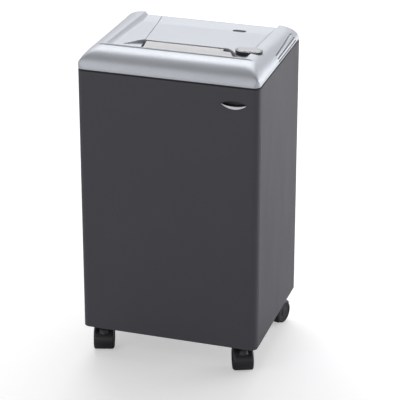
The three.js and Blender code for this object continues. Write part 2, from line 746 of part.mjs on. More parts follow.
function addDrive() {
  const front = [frontShaftY, cutterZ];
  const rear = [rearShaftY, cutterZ];
  const motor = [motorY, cabinetTop - motorDrop];
  const syncHigh = -plateOuter - syncGap;
  const syncLow = syncHigh - gearWidth;
  const first = -plateInner + 6;
  const frontCutter = cutter(first, syncLow - 1.5, plateOuter + 1.5, front[0]);
  const rearCutter = cutter(first + discPitch / 2, syncLow - 1.5, planeA + gearWidth + 0.8, rear[0]);
  add("cutter_front", frontCutter, materials.darkSteel);
  add("cutter_rear", rearCutter, materials.darkSteel);
  const rearPhase = 0;
  const frontPhase = meshedPhase(syncTeeth, rear, front, syncTeeth, rearPhase);
  const bore = shaftRadius + 0.3;
  add("sync_gear_rear", gear(syncTeeth, syncLow, syncHigh, bore, rearPhase, rear), materials.steel);
  add("sync_gear_front", gear(syncTeeth, syncLow, syncHigh, bore, frontPhase, front), materials.steel);
  const drivePhase = 0;
  add("drive_gear", gear(driveTeeth, planeA, planeA + gearWidth, bore, drivePhase, rear), materials.steel);
  const smallPhase = meshedPhase(idlerSmallTeeth, rear, idler, driveTeeth, drivePhase);
  const bigPhase = 0;
  const idlerGear = joined(
    gear(idlerSmallTeeth, planeA, planeB - 0.7, 0, smallPhase, idler),
    gear(idlerBigTeeth, planeB - 0.8, planeB + gearWidth - 0.8, 0, bigPhase, idler),
    rod(5, plateInner + 0.5, planeA + 1, 16, "x", [0, ...idler]),
  );
  add("idler_gear", idlerGear, materials.steel);
  const pinionPhase = meshedPhase(pinionTeeth, idler, motor, idlerBigTeeth, bigPhase);
  const pinion = joined(
    gear(pinionTeeth, planeB - 0.8, planeB + gearWidth - 0.8, 0, pinionPhase, motor),
    rod(5, plateInner - 3, planeB, 16, "x", [0, ...motor]),
  );
  add("motor_pinion", pinion, materials.steel);
}

function addMotor() {
  const face = plateInner - touchGap;
  const profile = [
    [0, face - 6],
    [7, face - 6],
    [7, face],
    [motorRadius - 5, face],
    [motorRadius - 5, face - 8],
    [motorRadius, face - 8],
    [motorRadius, face - motorLength + 8],
    [motorRadius - 5, face - motorLength + 8],
    [motorRadius - 5, face - motorLength],
    [0, face - motorLength],
  ];
  add("motor", turned(profile, 28, "x", [0, motorY, cabinetTop - motorDrop]), materials.darkSteel);
}

// A comb whose fingers reach between a cutter's discs.
function addStrippers() {
  const combs = [
    ["stripper_front", frontShaftY, -1, -plateInner + 6],
    ["stripper_rear", rearShaftY, 1, -plateInner + 6 + discPitch / 2],
  ];
  for (const [name, shaftY, sign, firstDisc] of combs) {
    const barNear = shaftY + sign * (discRadius + 1.2);
    const barFar = barNear + sign * 4;
    const tip = shaftY + sign * (discRoot + 1.2);
    const band = (x0, x1, y0, y1) => {
      const [nearY, farY] = [y0, y1].sort((a, b) => a - b);
      return block([x0, nearY, cutterZ - 5], [x1, farY, cutterZ - 1]);
    };
    let comb = band(-plateInner + touchGap, plateInner - touchGap, barNear, barFar);
    for (let i = 0; i + 1 < discCount; i += 1) {
      const low = firstDisc + i * discPitch + discPitch / 2;
      comb = comb.add(band(low, low + discPitch / 2 - 0.9, tip, barNear + sign));
    }
    add(name, comb, materials.steel);
  }
}

function addTieRods() {
  const half = plateInner - touchGap;
  add("tie_rod_front", rod(4, -half, half, 12, "x", [0, frontY + 52, cabinetTop - 70]), materials.steel);
  add("tie_rod_rear", rod(4, -half, half, 12, "x", [0, 58, cabinetTop - 70]), materials.steel);
}

// ---- feed throat, flap and switches ----
const throatTop = cabinetTop + 4;
const throatThick = 2.5;
const slotFront = recessFront + 6;
const slotBack = recessFront + 28;
const slotHalf = plateInner - 9.5;
const throatLow = cutterZ + discRadius + 3;
const nipHalf = 4;

function addThroat() {
  const lowZ = throatTop - throatThick;
  const flange = block([-slotHalf - 8, slotFront - 7, lowZ], [slotHalf + 8, recessBack - 2, throatTop]);
  const slot = block([-slotHalf, slotFront, lowZ - 1], [slotHalf, slotBack, throatTop + 1]);
  const wall = 2;
  const guide = (top, bottom, sign) =>
    prismX(
      shapeOf(
        [
          [top, throatTop],
          [top + sign * wall, throatTop],
          [bottom + sign * wall, throatLow],
          [bottom, throatLow],
        ],
      ),
      -slotHalf - wall,
      slotHalf + wall,
    );
  const ends = [-1, 1].map((sign) => {
    const [near, far] = [sign * slotHalf, sign * (slotHalf + wall)].sort((a, b) => a - b);
    return prismX(
      shapeOf([
        [slotFront - wall, throatTop],
        [nipY - nipHalf - wall, throatLow],
        [nipY + nipHalf + wall, throatLow],
        [slotBack + wall, throatTop],
      ]),
      near,
      far,
    );
  });
  const made = joined(
    less(flange, slot),
    guide(slotFront, nipY - nipHalf, -1),
    guide(slotBack, nipY + nipHalf, 1),
    ...ends,
  );
  add("feed_throat", made, materials.blackPlastic);
}

const flapHingeY = recessBack - 7;
const flapHingeZ = cabinetTop + 25.5;
const flapLeft = -recessLeft + 2;
const barrelRight = recessRight - 4;
const flapTipY = recessFront + 9;
const flapTipZ = cabinetTop + 16;

function addFlap() {
  const blade = new THREE.Shape();
  blade.moveTo(flapHingeY, flapHingeZ - 1);
  blade.lineTo(flapHingeY, flapHingeZ + 1);
  blade.lineTo(flapTipY, flapTipZ + 1);
  blade.lineTo(flapTipY - 1.2, flapTipZ);
  blade.lineTo(flapTipY, flapTipZ - 1);
  const barrel = rod(3, flapLeft, barrelRight, 14, "x", [0, flapHingeY, flapHingeZ]);
  const bore = rod(1.7, flapLeft - 1, barrelRight + 1, 12, "x", [0, flapHingeY, flapHingeZ]);
  const room = prismZ(recessOutline(-3), cabinetTop, cabinetTop + 60, 6);
  const plate = prismX(blade, flapLeft, plateInner - 3).intersect(room);
  const pinEnd = block(
    [barrelRight, flapHingeY - 6, flapHingeZ - 8],
    [recessRight + 50, flapHingeY + 8, flapHingeZ + 8],
  );
  const flap = less(joined(barrel, plate), bore, pinEnd);
  add("safety_flap", flap, materials.clearFlap);
  const reach = 1.6;
  const pin = rod(1.4, flapLeft - reach, barrelRight + reach, 12, "x", [0, flapHingeY, flapHingeZ]);
  add("flap_pin", pin, materials.steel);
}

function addSmallParts() {
  const flange = throatTop + touchGap;
  const switchBody = block([58, recessBack - 26, flange], [78, recessBack - 16, flange + 10]);
  const lever = block([60, recessBack - 22, flange + 9], [62, recessBack - 20, flange + 14]);
  add("flap_switch", joined(switchBody, lever), materials.blackPlastic);
  const under = throatTop - throatThick - touchGap;
  const sensor = block([-8, slotBack + 4, under - 7], [8, slotBack + 16, under]);
  add("paper_sensor", sensor, materials.blackPlastic);

  const boardZ = hoodBottom + 2;
  let circuit = block([-120, 92, boardZ], [30, 142, boardZ + 1.6]);
  const components = [
    [-108, 100, 18, 14, 6],
    [-80, 104, 12, 12, 5],
    [-58, 98, 24, 10, 4],
    [-20, 102, 14, 20, 6],
    [5, 112, 12, 12, 4],
  ];
  for (const [x, y, sizeX, sizeY, tall] of components) {
    const component = block([x, y, boardZ + 1], [x + sizeX, y + sizeY, boardZ + 1.6 + tall]);
    circuit = circuit.add(component);
  }
  add("control_board", circuit, materials.circuit);
}

const inletX = -120;
const inletHalfX = 14;
const inletHalfZ = 10;
const inletZ = cabinetTop - 60;
const inletWall = 2.5;

function addInlet() {
  const body = block(
    [inletX - inletHalfX, backY - 22, inletZ - inletHalfZ],
    [inletX + inletHalfX, backY - touchGap, inletZ + inletHalfZ],
  );
  const [halfX, halfZ] = [inletHalfX - inletWall, inletHalfZ - inletWall];
  const cavity = block(
    [inletX - halfX, backY - 16, inletZ - halfZ],
    [inletX + halfX, backY + 1, inletZ + halfZ],
  );
  let inlet = less(body, cavity);
  for (const [dx, dz] of [[-7, -2], [0, 2], [7, -2]]) {
    const [x, z] = [inletX + dx, inletZ + dz];
    inlet = inlet.add(block([x - 1, backY - 17, z - 2], [x + 1, backY - 4, z + 2]));
  }
  add("mains_inlet", inlet, materials.blackPlastic);
}

// ---- casters ----
// A twin-wheel caster at its place, with its wheels trailing at an angle from straight back.
function addCaster(corner, x, y, trailDegrees) {
  const place = new THREE.Group();
  place.position.set(x, y, 0);
  place.rotation.z = (trailDegrees * Math.PI) / 180;
  shredder.add(place);
  const hub = [casterTrail, wheelRadius];
  const fenderInner = wheelRadius + 1.4;
  const fenderOuter = fenderInner + fenderThick;
  const bossTop = wheelRadius + Math.sqrt(fenderOuter ** 2 - casterTrail ** 2) + 7;
  const plateLow = casterHeight - 3;
  const stem = turned(
    [
      [0, bossTop - 11],
      [stemRadius, bossTop - 11],
      [stemRadius, bossTop + runGap],
      [7, bossTop + runGap],
      [7, plateLow],
      [13, plateLow],
      [13, casterHeight - touchGap],
      [0, casterHeight - touchGap],
    ],
    12,
  );
  add("caster_stem_" + corner, stem, materials.darkSteel, place);

  const from = (40 * Math.PI) / 180;
  const to = (221 * Math.PI) / 180;
  const fender = new THREE.Shape();
  fender.absarc(...hub, fenderOuter, from, to, false);
  fender.absarc(...hub, fenderInner, to, from, true);
  const web = new THREE.Shape();
  web.absarc(...hub, fenderInner + 0.3, from, to, false);
  web.lineTo(hub[0] - 9, hub[1] - 14);
  web.lineTo(hub[0] + 6, hub[1] - 9);
  const webHalf = wheelInner - runGap;
  const outerHalf = wheelInner + wheelWidth;
  const boss = rod(9, bossTop - 10.4, bossTop, 12, "z", [0, 0, 0]);
  const hood = less(
    joined(
      prismX(fender, -outerHalf, outerHalf, 8),
      prismX(web, -webHalf, webHalf, 8),
      boss,
      rod(3, -outerHalf + 2, outerHalf - 2, 8, "x", [0, ...hub]),
    ),
    rod(stemRadius + 0.3, bossTop - 11.5, bossTop + 1, 12, "z", [0, 0, 0]),
  );
  add("caster_hood_" + corner, hood, materials.blackPlastic, place);

  const profile = [
    [3.4, wheelInner],
    [wheelRadius - 1.5, wheelInner],
    [wheelRadius, wheelInner + 2],
    [wheelRadius, wheelInner + wheelWidth - 3.5],
    [wheelRadius - 2.5, wheelInner + wheelWidth],
    [wheelRadius - 5, wheelInner + wheelWidth - 1.5],
    [3.4, wheelInner + wheelWidth - 1.5],
    [3.4, wheelInner],
  ];
  for (const [side, sign] of [["left", -1], ["right", 1]]) {
    const mirrored = profile.map(([radius, along]) => [radius, sign * along]);
    add("wheel_" + corner + "_" + side, turned(mirrored, 24, "x", [0, ...hub]), materials.rubber, place);
  }
}

addCabinet();
addDoor();
addHinge();
addBin();
addTray();
addHood();
addRocker();
addSidePlates();
addBushes();
addDrive();
addMotor();
addStrippers();
addTieRods();
addThroat();
addFlap();
addSmallParts();
addInlet();
addCaster("front_left", -casterX, casterFrontY, 16);
addCaster("front_right", casterX, casterFrontY, 22);
addCaster("rear_left", -casterX, casterRearY, 15);
addCaster("rear_right", casterX, casterRearY, -15);

export default shredder;
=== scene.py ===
"""Looks of an office paper shredder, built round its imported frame.

A boarded cabinet on twin-wheel casters stands under a silver hood with a dished top. Every length
is in metres, and places come from the frame's own boxes and joints.
"""

import json
import logging
import math
from dataclasses import dataclass, field
from enum import Enum
from typing import Callable, Iterable, Sequence

import bmesh
import bpy
from mathutils import Matrix, Vector


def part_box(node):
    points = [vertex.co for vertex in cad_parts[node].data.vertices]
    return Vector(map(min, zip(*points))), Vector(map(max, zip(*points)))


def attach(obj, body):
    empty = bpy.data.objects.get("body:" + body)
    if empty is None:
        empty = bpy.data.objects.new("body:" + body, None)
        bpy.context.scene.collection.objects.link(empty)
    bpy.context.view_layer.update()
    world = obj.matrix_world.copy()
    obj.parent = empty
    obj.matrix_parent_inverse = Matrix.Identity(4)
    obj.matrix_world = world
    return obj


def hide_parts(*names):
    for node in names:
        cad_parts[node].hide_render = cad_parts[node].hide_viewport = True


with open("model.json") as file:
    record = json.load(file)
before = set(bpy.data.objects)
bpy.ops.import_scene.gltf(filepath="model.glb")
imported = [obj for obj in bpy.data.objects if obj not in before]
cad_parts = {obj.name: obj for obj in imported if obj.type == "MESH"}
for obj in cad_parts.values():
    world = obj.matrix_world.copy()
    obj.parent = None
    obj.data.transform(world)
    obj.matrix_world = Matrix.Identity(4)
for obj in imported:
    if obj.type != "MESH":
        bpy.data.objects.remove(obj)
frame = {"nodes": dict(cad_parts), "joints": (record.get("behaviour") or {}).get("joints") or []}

bpy.context.view_layer.update()
LOG = logging.getLogger("shredder")

Point = tuple[float, float]
Place = tuple[float, float, float]
Colour = tuple[float, float, float]
Piece = bpy.types.Object
Output = bpy.types.NodeSocket


def mm(value: float) -> float:
    """A length given in millimetres, in metres."""
    return value / 1000.0


PAST = mm(10)  # how far a cutting tool reaches past what it cuts
FAR = mm(200)  # beyond the hood on every side
TINY = 1e-6  # less than any real length


def lerp(start: float, end: float, share: float) -> float:
    """The value a share of the way from start to end."""
    return start + (end - start) * share


def clamp(value: float, low: float = 0.0, high: float = 1.0) -> float:
    """The value, held between low and high."""
    return max(low, min(high, value))


def soft_min(first: float, second: float, reach: float) -> float:
    """The lower of two values, rounded off where they come within a reach of each other."""
    near = max(0.0, reach - abs(first - second)) / reach
    return min(first, second) - near * near * reach / 4


# ---- Meshes ----


class Axis(Enum):
    """Which way a prism or a turned piece runs: the axes of its outline, then its own."""

    X = (1, 2, 0)
    Y = (0, 2, 1)
    Z = (0, 1, 2)

    def place(self, across: float, up: float, along: float) -> Vector:
        """The point with these three coordinates in the frame's own axes."""
        spot = [0.0, 0.0, 0.0]
        for index, value in zip(self.value, (across, up, along)):
            spot[index] = value
        return Vector(spot)


class Draft:
    """Points and faces, gathered before they become one object."""

    def __init__(self) -> None:
        """Starts with nothing in it."""
        self.points: list[Vector] = []
        self.faces: list[tuple[int, ...]] = []

    def ring(self, points: Iterable[Vector]) -> list[int]:
        """Adds points and gives their numbers."""
        start = len(self.points)
        self.points.extend(Vector(point) for point in points)
        return list(range(start, len(self.points)))

    def bridge(self, first: Sequence[int], second: Sequence[int], closed: bool = True) -> None:
        """Joins two rings by faces; a ring of one point is the tip of a fan.

        Args:
            first: The point numbers of one ring.
            second: The point numbers of the other, as many or just one.
            closed: Whether the last point joins the first.
        """
        count = max(len(first), len(second))
        for i in range(count if closed else count - 1):
            k = (i + 1) % count
            corners = [first[i % len(first)], first[k % len(first)]]
            corners += [second[k % len(second)], second[i % len(second)]]
            self.faces.append(tuple(dict.fromkeys(corners)))

    def cap(self, ring: Sequence[int]) -> None:
        """Closes a ring with one face."""
        self.faces.append(tuple(ring))

    def sweep(self, rings: Sequence[Sequence[int]]) -> None:
        """Joins each ring to the next one and closes both ends."""
        for first, second in zip(rings, rings[1:]):
            self.bridge(first, second)
        self.cap(rings[0])
        self.cap(rings[-1])

    def build(self, name: str, place: Matrix | None = None) -> Piece:
        """Makes the object, with its faces pointing out and shaded smooth.

        Args:
            name: The piece's name.
            place: Where the points go, if they aren't in place already.

        Returns:
            The new object, linked to the scene.
        """
        mesh = bpy.data.meshes.new(name)
        points = [place @ point for point in self.points] if place else self.points
        mesh.from_pydata([tuple(point) for point in points], [], self.faces)
        shell = bmesh.new()
        shell.from_mesh(mesh)
        bmesh.ops.recalc_face_normals(shell, faces=shell.faces)
        shell.to_mesh(mesh)
        shell.free()
        mesh.shade_smooth()
        made = bpy.data.objects.new(name, mesh)
        bpy.context.scene.collection.objects.link(made)
        return made


def arc(centre: Point, radius: float, start: float, end: float, steps: int) -> list[Point]:
    """Points of an arc, its angles in degrees, both ends among them."""
    turns = [math.radians(lerp(start, end, i / steps)) for i in range(steps + 1)]
    return [(centre[0] + radius * math.cos(t), centre[1] + radius * math.sin(t)) for t in turns]


def bezier(corners: Sequence[Point], steps: int) -> list[Point]:
    """Points of a Bezier curve with any number of corners, without its first point."""
    curve = []
    for i in range(1, steps + 1):
        level = list(corners)
        while len(level) > 1:
            level = [
                (lerp(a[0], b[0], i / steps), lerp(a[1], b[1], i / steps))
                for a, b in zip(level, level[1:])
            ]
        curve.append(level[0])
    return curve


def rounded_box(centre: Point, half: Point, radius: float, steps: int = 8) -> list[Point]:
    """The outline of a rectangle with round corners."""
    outline: list[Point] = []
    for index, (side_x, side_y) in enumerate(((1, -1), (1, 1), (-1, 1), (-1, -1))):
        corner = (
            centre[0] + side_x * (half[0] - radius),
            centre[1] + side_y * (half[1] - radius),
        )
        outline += arc(corner, radius, 90 * (index - 1), 90 * index, steps)
    return outline


def prism(
    name: str, outline: Sequence[Point], low: float, high: float, axis: Axis = Axis.Z
) -> Piece:
    """An outline run along an axis from low to high."""
    draft = Draft()
    rings = [draft.ring(axis.place(a, b, level) for a, b in outline) for level in (low, high)]
    draft.sweep(rings)
    return draft.build(name)


def step(outline: Sequence[Point], low: float, high: float, axis: Axis = Axis.Z) -> Piece:
    """A prism that a boolean step uses up."""
    return prism("step", outline, low, high, axis)


def box(name: str, low: Place, high: Place) -> Piece:
    """A block between two corners, for cutting or for a small flat part."""
    outline = [(low[0], low[1]), (high[0], low[1]), (high[0], high[1]), (low[0], high[1])]
    return prism(name, outline, low[2], high[2])


def turned(
    name: str,
    profile: Sequence[Point],
    centre: Place,
    axis: Axis = Axis.Z,
    segments: int = 48,
    place: Matrix | None = None,
) -> Piece:
    """A profile of (radius, along) turned about an axis through a point.

    Args:
        name: The piece's name.
        profile: Its points, which start and end on the axis or go round a closed loop.
        centre: A point on the axis.
        axis: The way it runs.
        segments: How many steps the turn has.
        place: Where the finished piece goes, if not where it is drawn.

    Returns:
        The new object.
    """
    draft = Draft()
    turns = [2 * math.pi * i / segments for i in range(segments)]
    rings = []
    for radius, along in profile:
        steps = turns if radius > TINY else [0.0]
        rings.append(
            draft.ring(
                Vector(centre) + axis.place(radius * math.cos(t), radius * math.sin(t), along)
                for t in steps
            )
        )
    for first, second in zip(rings, rings[1:]):
        draft.bridge(first, second)
    if len(rings[0]) > 1:
        draft.bridge(rings[-1], rings[0])
    return draft.build(name, place)


def rod(radius: float, low: float, high: float) -> list[Point]:
    """The profile of a plain round bar, to be turned."""
    return [(0, low), (radius, low), (radius, high), (0, high)]


class Join(Enum):
    """What a boolean step does with the second solid."""

    CUT = "DIFFERENCE"
    ADD = "UNION"
    KEEP = "INTERSECT"


def shaped(base: Piece, how: Join, *tools: Piece) -> Piece:
    """Cuts, joins or trims a solid by others, which are used up.

    Args:
        base: The solid that is worked on.
        how: What each tool does to it.
        tools: The other solids.

    Returns:
        The same object, with its new mesh.
    """
    for tool in tools:
        cutter = base.modifiers.new("step", "BOOLEAN")
        cutter.operation = how.value
        cutter.solver = "MANIFOLD"
        cutter.object = tool
        mesh = bpy.data.meshes.new_from_object(
            base.evaluated_get(bpy.context.evaluated_depsgraph_get())
        )
        base.modifiers.clear()
        old = base.data
        base.data = mesh
        bpy.data.meshes.remove(old)
        mesh.name = base.name
        spent = tool.data
        bpy.data.objects.remove(tool)
        bpy.data.meshes.remove(spent)
    return base


def crisp(piece: Piece, angle: float = 32.0) -> None:
    """Keeps the edges that are sharper than an angle sharp in a smooth-shaded piece."""
    piece.data.set_sharp_from_angle(angle=math.radians(angle))


def eased(
    piece: Piece, width: float, steps: int = 2, angle: float = 40.0, sharp: float = 32.0
) -> None:
    """Rounds a piece's sharp edges and keeps its flats flat.

    Args:
        piece: The piece.
        width: How wide its rounded edges are.
        steps: How many facets they have.
        angle: The least angle, in degrees, of an edge that is rounded.
        sharp: The least angle of one that is shaded sharp, or 0 to leave the shading.
    """
    if sharp:
        crisp(piece, sharp)
    bevel = piece.modifiers.new("eased edges", "BEVEL")
    bevel.width = width
    bevel.segments = steps
    bevel.limit_method = "ANGLE"
    bevel.angle_limit = math.radians(angle)
    bevel.harden_normals = True
    bevel.miter_outer = "MITER_ARC"


def cleaned(piece: Piece, reach: float = mm(0.03)) -> None:
    """Merges points that a boolean step left almost together, and drops what collapses."""
    shell = bmesh.new()
    shell.from_mesh(piece.data)
    bmesh.ops.remove_doubles(shell, verts=shell.verts, dist=reach)
    bmesh.ops.dissolve_degenerate(shell, edges=shell.edges, dist=reach)
    shell.to_mesh(piece.data)
    shell.free()
    piece.data.shade_smooth()


# ---- Shader effects ----


class Wiring:
    """Adds nodes to one tree and joins them."""

    def __init__(self, tree: bpy.types.NodeTree) -> None:
        """Works in the given tree."""
        self.tree = tree

    def add(self, kind: str, inputs: dict | None = None, **settings) -> bpy.types.Node:
        """Adds a node.

        Args:
            kind: The node's type name without its ShaderNode prefix.
            inputs: Values or sockets for its inputs, by name or number.
            settings: Values of its own properties.

        Returns:
            The new node.
        """
        prefix = "" if kind.startswith("NodeGroup") else "ShaderNode"
        node = self.tree.nodes.new(prefix + kind)
        for key, value in settings.items():
            setattr(node, key, value)
        for key, value in (inputs or {}).items():
            self.feed(node.inputs[key], value)
        return node

    def feed(self, socket: Output, value: object) -> None:
        """Joins another node's socket to this one, or sets its value."""
        if isinstance(value, Output):
            self.tree.links.new(value, socket)
        else:
            socket.default_value = value

    def math(self, operation: str, first: object, second: object = 0.5) -> Output:
        """The result of a Math node."""
        node = self.add("Math", {0: first, 1: second}, operation=operation)
        return node.outputs[0]

    def ranged(
        self, value: object, low: float, high: float, to_low: float, to_high: float
    ) -> Output:
        """A value mapped from one range to another, and held inside it."""
        names = {"Value": value, "From Min": low, "From Max": high}
        node = self.add("MapRange", {**names, "To Min": to_low, "To Max": to_high})
        return node.outputs["Result"]

    def swing(self, value: object, spread: object) -> Output:
        """A value round a half, as a shift round zero that is up to a spread either way."""
        shift = self.math("MULTIPLY", self.math("SUBTRACT", value, 0.5), spread)
        return self.math("MULTIPLY", shift, 2.0)

    def blend(self, share: object, first: object, second: object) -> Output:
        """Two colours mixed by a share."""
        node = self.add("Mix", data_type="RGBA")
        for index, value in ((0, share), (6, first), (7, second)):
            self.feed(node.inputs[index], value)
        return node.outputs[2]

    def noise(
        self, scale: object, detail: float, vector: object = None, roughness: float = 0.55
    ) -> Output:
        """A noise texture's value, in the piece's own coordinates unless others are given."""
        place = vector or self.add("TexCoord").outputs["Object"]
        inputs = {"Vector": place, "Scale": scale, "Detail": detail, "Roughness": roughness}
        return self.add("TexNoise", inputs).outputs[0]


class Effect:
    """A shader node group that many materials place with their own values."""

    KIND = "NodeSocketFloat"

    def __init__(self, name: str, inputs: dict[str, float], outputs: Sequence[str]) -> None:
        """Makes the empty group.

        Args:
            name: The group's name.
            inputs: Its inputs and their usual values.
            outputs: Its outputs.
        """
        self.tree = bpy.data.node_groups.new(name, "ShaderNodeTree")
        sockets = self.tree.interface
        for title, usual in inputs.items():
            made = sockets.new_socket(title, in_out="INPUT", socket_type=self.KIND)
            made.default_value = usual
        for title in outputs:
            sockets.new_socket(title, in_out="OUTPUT", socket_type=self.KIND)
        self.wiring = Wiring(self.tree)
        self.inputs = self.wiring.add("NodeGroupInput").outputs
        self.result = self.wiring.add("NodeGroupOutput").inputs

    def put_tone(self, value: Output) -> None:
        """Puts out a tone round one that swings with a value by the group's spread."""
        swing = self.wiring.swing(value, self.inputs["Spread"])
        self.wiring.feed(self.result["Tone"], self.wiring.math("ADD", 1.0, swing))

    def place(self, wiring: Wiring, **values: object) -> bpy.types.bpy_prop_collection:
        """Puts the group in a material with its own values and gives its outputs."""
        node = wiring.add("Group", node_tree=self.tree)
        for title, value in values.items():
            wiring.feed(node.inputs[title.replace("_", " ").capitalize()], value)
        return node.outputs


class Effects:
    """The effects that the finishes share, each built once."""

    def __init__(self) -> None:
        """Builds every effect."""
        self.grain = self.build_grain()
        self.mottle = self.build_mottle()
        self.flakes = self.build_flakes()
        self.brushing = self.build_brushing()
        self.edge_wear = self.build_edge_wear()
        self.dust = self.build_dust()
        self.scuffs = self.build_scuffs()

    @staticmethod
    def build_grain() -> Effect:
        """Fine texture of a moulded or laminated surface, as a height and a tone."""
        effect = Effect("surface grain", {"Scale": 900.0, "Spread": 0.05}, ["Height", "Tone"])
        wire = effect.wiring
        fine = wire.noise(effect.inputs["Scale"], 4.0, roughness=0.65)
        place = wire.add("TexCoord").outputs["Object"]
        coarse = wire.math("MULTIPLY", effect.inputs["Scale"], 0.7)
        cells = wire.add("TexVoronoi", {"Vector": place, "Scale": coarse}).outputs["Distance"]
        fine_part, cell_part = wire.math("MULTIPLY", fine, 0.6), wire.math("MULTIPLY", cells, 0.4)
        height = wire.math("ADD", fine_part, cell_part)
        wire.feed(effect.result["Height"], height)
        effect.put_tone(fine)
        return effect

    @staticmethod
    def build_mottle() -> Effect:
        """Broad, faint unevenness of colour over a whole panel, as a tone."""
        effect = Effect("broad mottle", {"Scale": 6.0, "Spread": 0.04}, ["Tone"])
        effect.put_tone(effect.wiring.noise(effect.inputs["Scale"], 3.0))
        return effect

    @staticmethod
    def build_flakes() -> Effect:
        """Metal flakes in a paint, as a tone and a tiny height."""
        effect = Effect("paint flakes", {"Scale": 2600.0, "Spread": 0.1}, ["Tone", "Height"])
        wire = effect.wiring
        place = wire.add("TexCoord").outputs["Object"]
        cells = wire.add("TexVoronoi", {"Vector": place, "Scale": effect.inputs["Scale"]})
        level = wire.add("SeparateColor", {0: cells.outputs["Color"]}).outputs[0]
        effect.put_tone(level)
        wire.feed(effect.result["Height"], level)
        return effect

    @staticmethod
    def build_brushing() -> Effect:
        """Fine lines along a rolled or ground metal, as a tone and a height."""
        effect = Effect("brushed lines", {"Scale": 60.0, "Spread": 0.08}, ["Tone", "Height"])
        wire = effect.wiring
        place = wire.add("TexCoord").outputs["Object"]
        drawn = wire.add("Mapping", {"Vector": place, "Scale": (1.0, 14.0, 40.0)})
        lines = wire.noise(effect.inputs["Scale"], 3.0, drawn.outputs[0], 0.7)
        effect.put_tone(lines)
        wire.feed(effect.result["Height"], lines)
        return effect

    @staticmethod
    def build_edge_wear() -> Effect:
        """Where edges are rubbed, as a mask that noise breaks up."""
        effect = Effect("edge wear", {"Radius": 0.0012, "Amount": 0.5}, ["Mask"])
        wire = effect.wiring
        rounded = wire.add("Bevel", {"Radius": effect.inputs["Radius"]}, samples=4).outputs[0]
        true = wire.add("NewGeometry").outputs["Normal"]
        closeness = wire.add("VectorMath", {0: rounded, 1: true}, operation="DOT_PRODUCT")
        turned_away = wire.math("SUBTRACT", 1.0, closeness.outputs["Value"])
        edge = wire.ranged(turned_away, 0.01, 0.16, 0.0, 1.0)
        broken = wire.ranged(wire.noise(120.0, 4.0), 0.42, 0.68, 0.0, 1.0)
        mask = wire.math("MULTIPLY", edge, broken)
        wire.feed(effect.result["Mask"], wire.math("MULTIPLY", mask, effect.inputs["Amount"]))
        return effect

    @staticmethod
    def build_dust() -> Effect:
        """Dust that settles on what faces up, as a mask."""
        effect = Effect("settled dust", {"Amount": 0.2, "Scale": 35.0}, ["Mask"])
        wire = effect.wiring
        normal = wire.add("NewGeometry").outputs["Normal"]
        facing = wire.add("SeparateXYZ", {0: normal}).outputs["Z"]
        level = wire.ranged(facing, 0.25, 0.95, 0.0, 1.0)
        patches = wire.ranged(wire.noise(effect.inputs["Scale"], 5.0), 0.35, 0.8, 0.2, 1.0)
        mask = wire.math("MULTIPLY", level, patches)
        wire.feed(effect.result["Mask"], wire.math("MULTIPLY", mask, effect.inputs["Amount"]))
        return effect

    @staticmethod
    def build_scuffs() -> Effect:
        """Handling marks that change how a surface shines, as a shift of roughness."""
        effect = Effect("handling marks", {"Scale": 9.0, "Spread": 0.12}, ["Shift"])
        wire = effect.wiring
        place = wire.add("TexCoord").outputs["Object"]
        smears = wire.add("Mapping", {"Vector": place, "Scale": (1.0, 2.2, 0.6)}).outputs[0]
        broad = wire.noise(effect.inputs["Scale"], 4.0, smears, 0.6)
        wire.feed(effect.result["Shift"], wire.swing(broad, effect.inputs["Spread"]))
        return effect


# ---- Finishes ----


@dataclass(frozen=True)
class Finish:
    """A plain grained finish: moulded plastic, laminate or rubber."""

    name: str
    slot: str
    colour: Colour
    roughness: float = 0.5
    metallic: float = 0.0
    specular: float = 0.5
    coat: float = 0.0
    coat_roughness: float = 0.15
    grain_scale: float = 900.0
    grain_depth: float = mm(0.03)
    tone_spread: float = 0.05
    mottle: float = 0.03
    handling: float = 0.1
    wear: float = 0.3
    wear_colour: Colour = (0.3, 0.3, 0.31)
    dust: float = 0.1
    dust_colour: Colour = (0.45, 0.44, 0.42)

    def texture(self, wire: Wiring, effects: Effects) -> tuple[Output, Output]:
        """The finish's own fine texture.

        Args:
            wire: The material's tree.
            effects: The shared effects.

        Returns:
            A tone that the colour is multiplied by, and a height for the bump.
        """
        grain = effects.grain.place(wire, scale=self.grain_scale, spread=self.tone_spread)
        return grain["Tone"], grain["Height"]

    def build(self, effects: Effects) -> bpy.types.Material:
        """Makes the material.

        Args:
            effects: The shared effects.

        Returns:
            The material, ready for a piece's slot.
        """
        material = bpy.data.materials.new(self.name)
        material.use_nodes = True
        wire = Wiring(material.node_tree)
        shader = material.node_tree.nodes["Principled BSDF"]
        tone, height = self.texture(wire, effects)
        mottle = effects.mottle.place(wire, spread=self.mottle)["Tone"]
        level = wire.math("MULTIPLY", tone, mottle)
        plain = wire.add("VectorMath", {0: self.colour, "Scale": level}, operation="SCALE")
        colour = plain.outputs[0]
        if self.wear > 0:
            worn = effects.edge_wear.place(wire, amount=self.wear)["Mask"]
            colour = wire.blend(worn, colour, (*self.wear_colour, 1.0))
        if self.dust > 0:
            settled = effects.dust.place(wire, amount=self.dust)["Mask"]
            colour = wire.blend(settled, colour, (*self.dust_colour, 1.0))
        shift = effects.scuffs.place(wire, spread=self.handling)["Shift"]
        gloss = wire.add("Math", {0: shift, 1: self.roughness}, operation="ADD", use_clamp=True)
        bump = wire.add("Bump", {"Strength": 1.0, "Distance": self.grain_depth, "Height": height})
        values = {
            "Base Color": colour,
            "Roughness": gloss.outputs[0],
            "Normal": bump.outputs["Normal"],
            "Metallic": self.metallic,
            "Specular IOR Level": self.specular,
            "Coat Weight": self.coat,
            "Coat Roughness": self.coat_roughness,
        }
        for title, value in values.items():
            wire.feed(shader.inputs[title], value)
        self.refine(shader)
        return material

    def refine(self, shader: bpy.types.Node) -> None:
        """Sets what only this kind of finish has on its shader."""


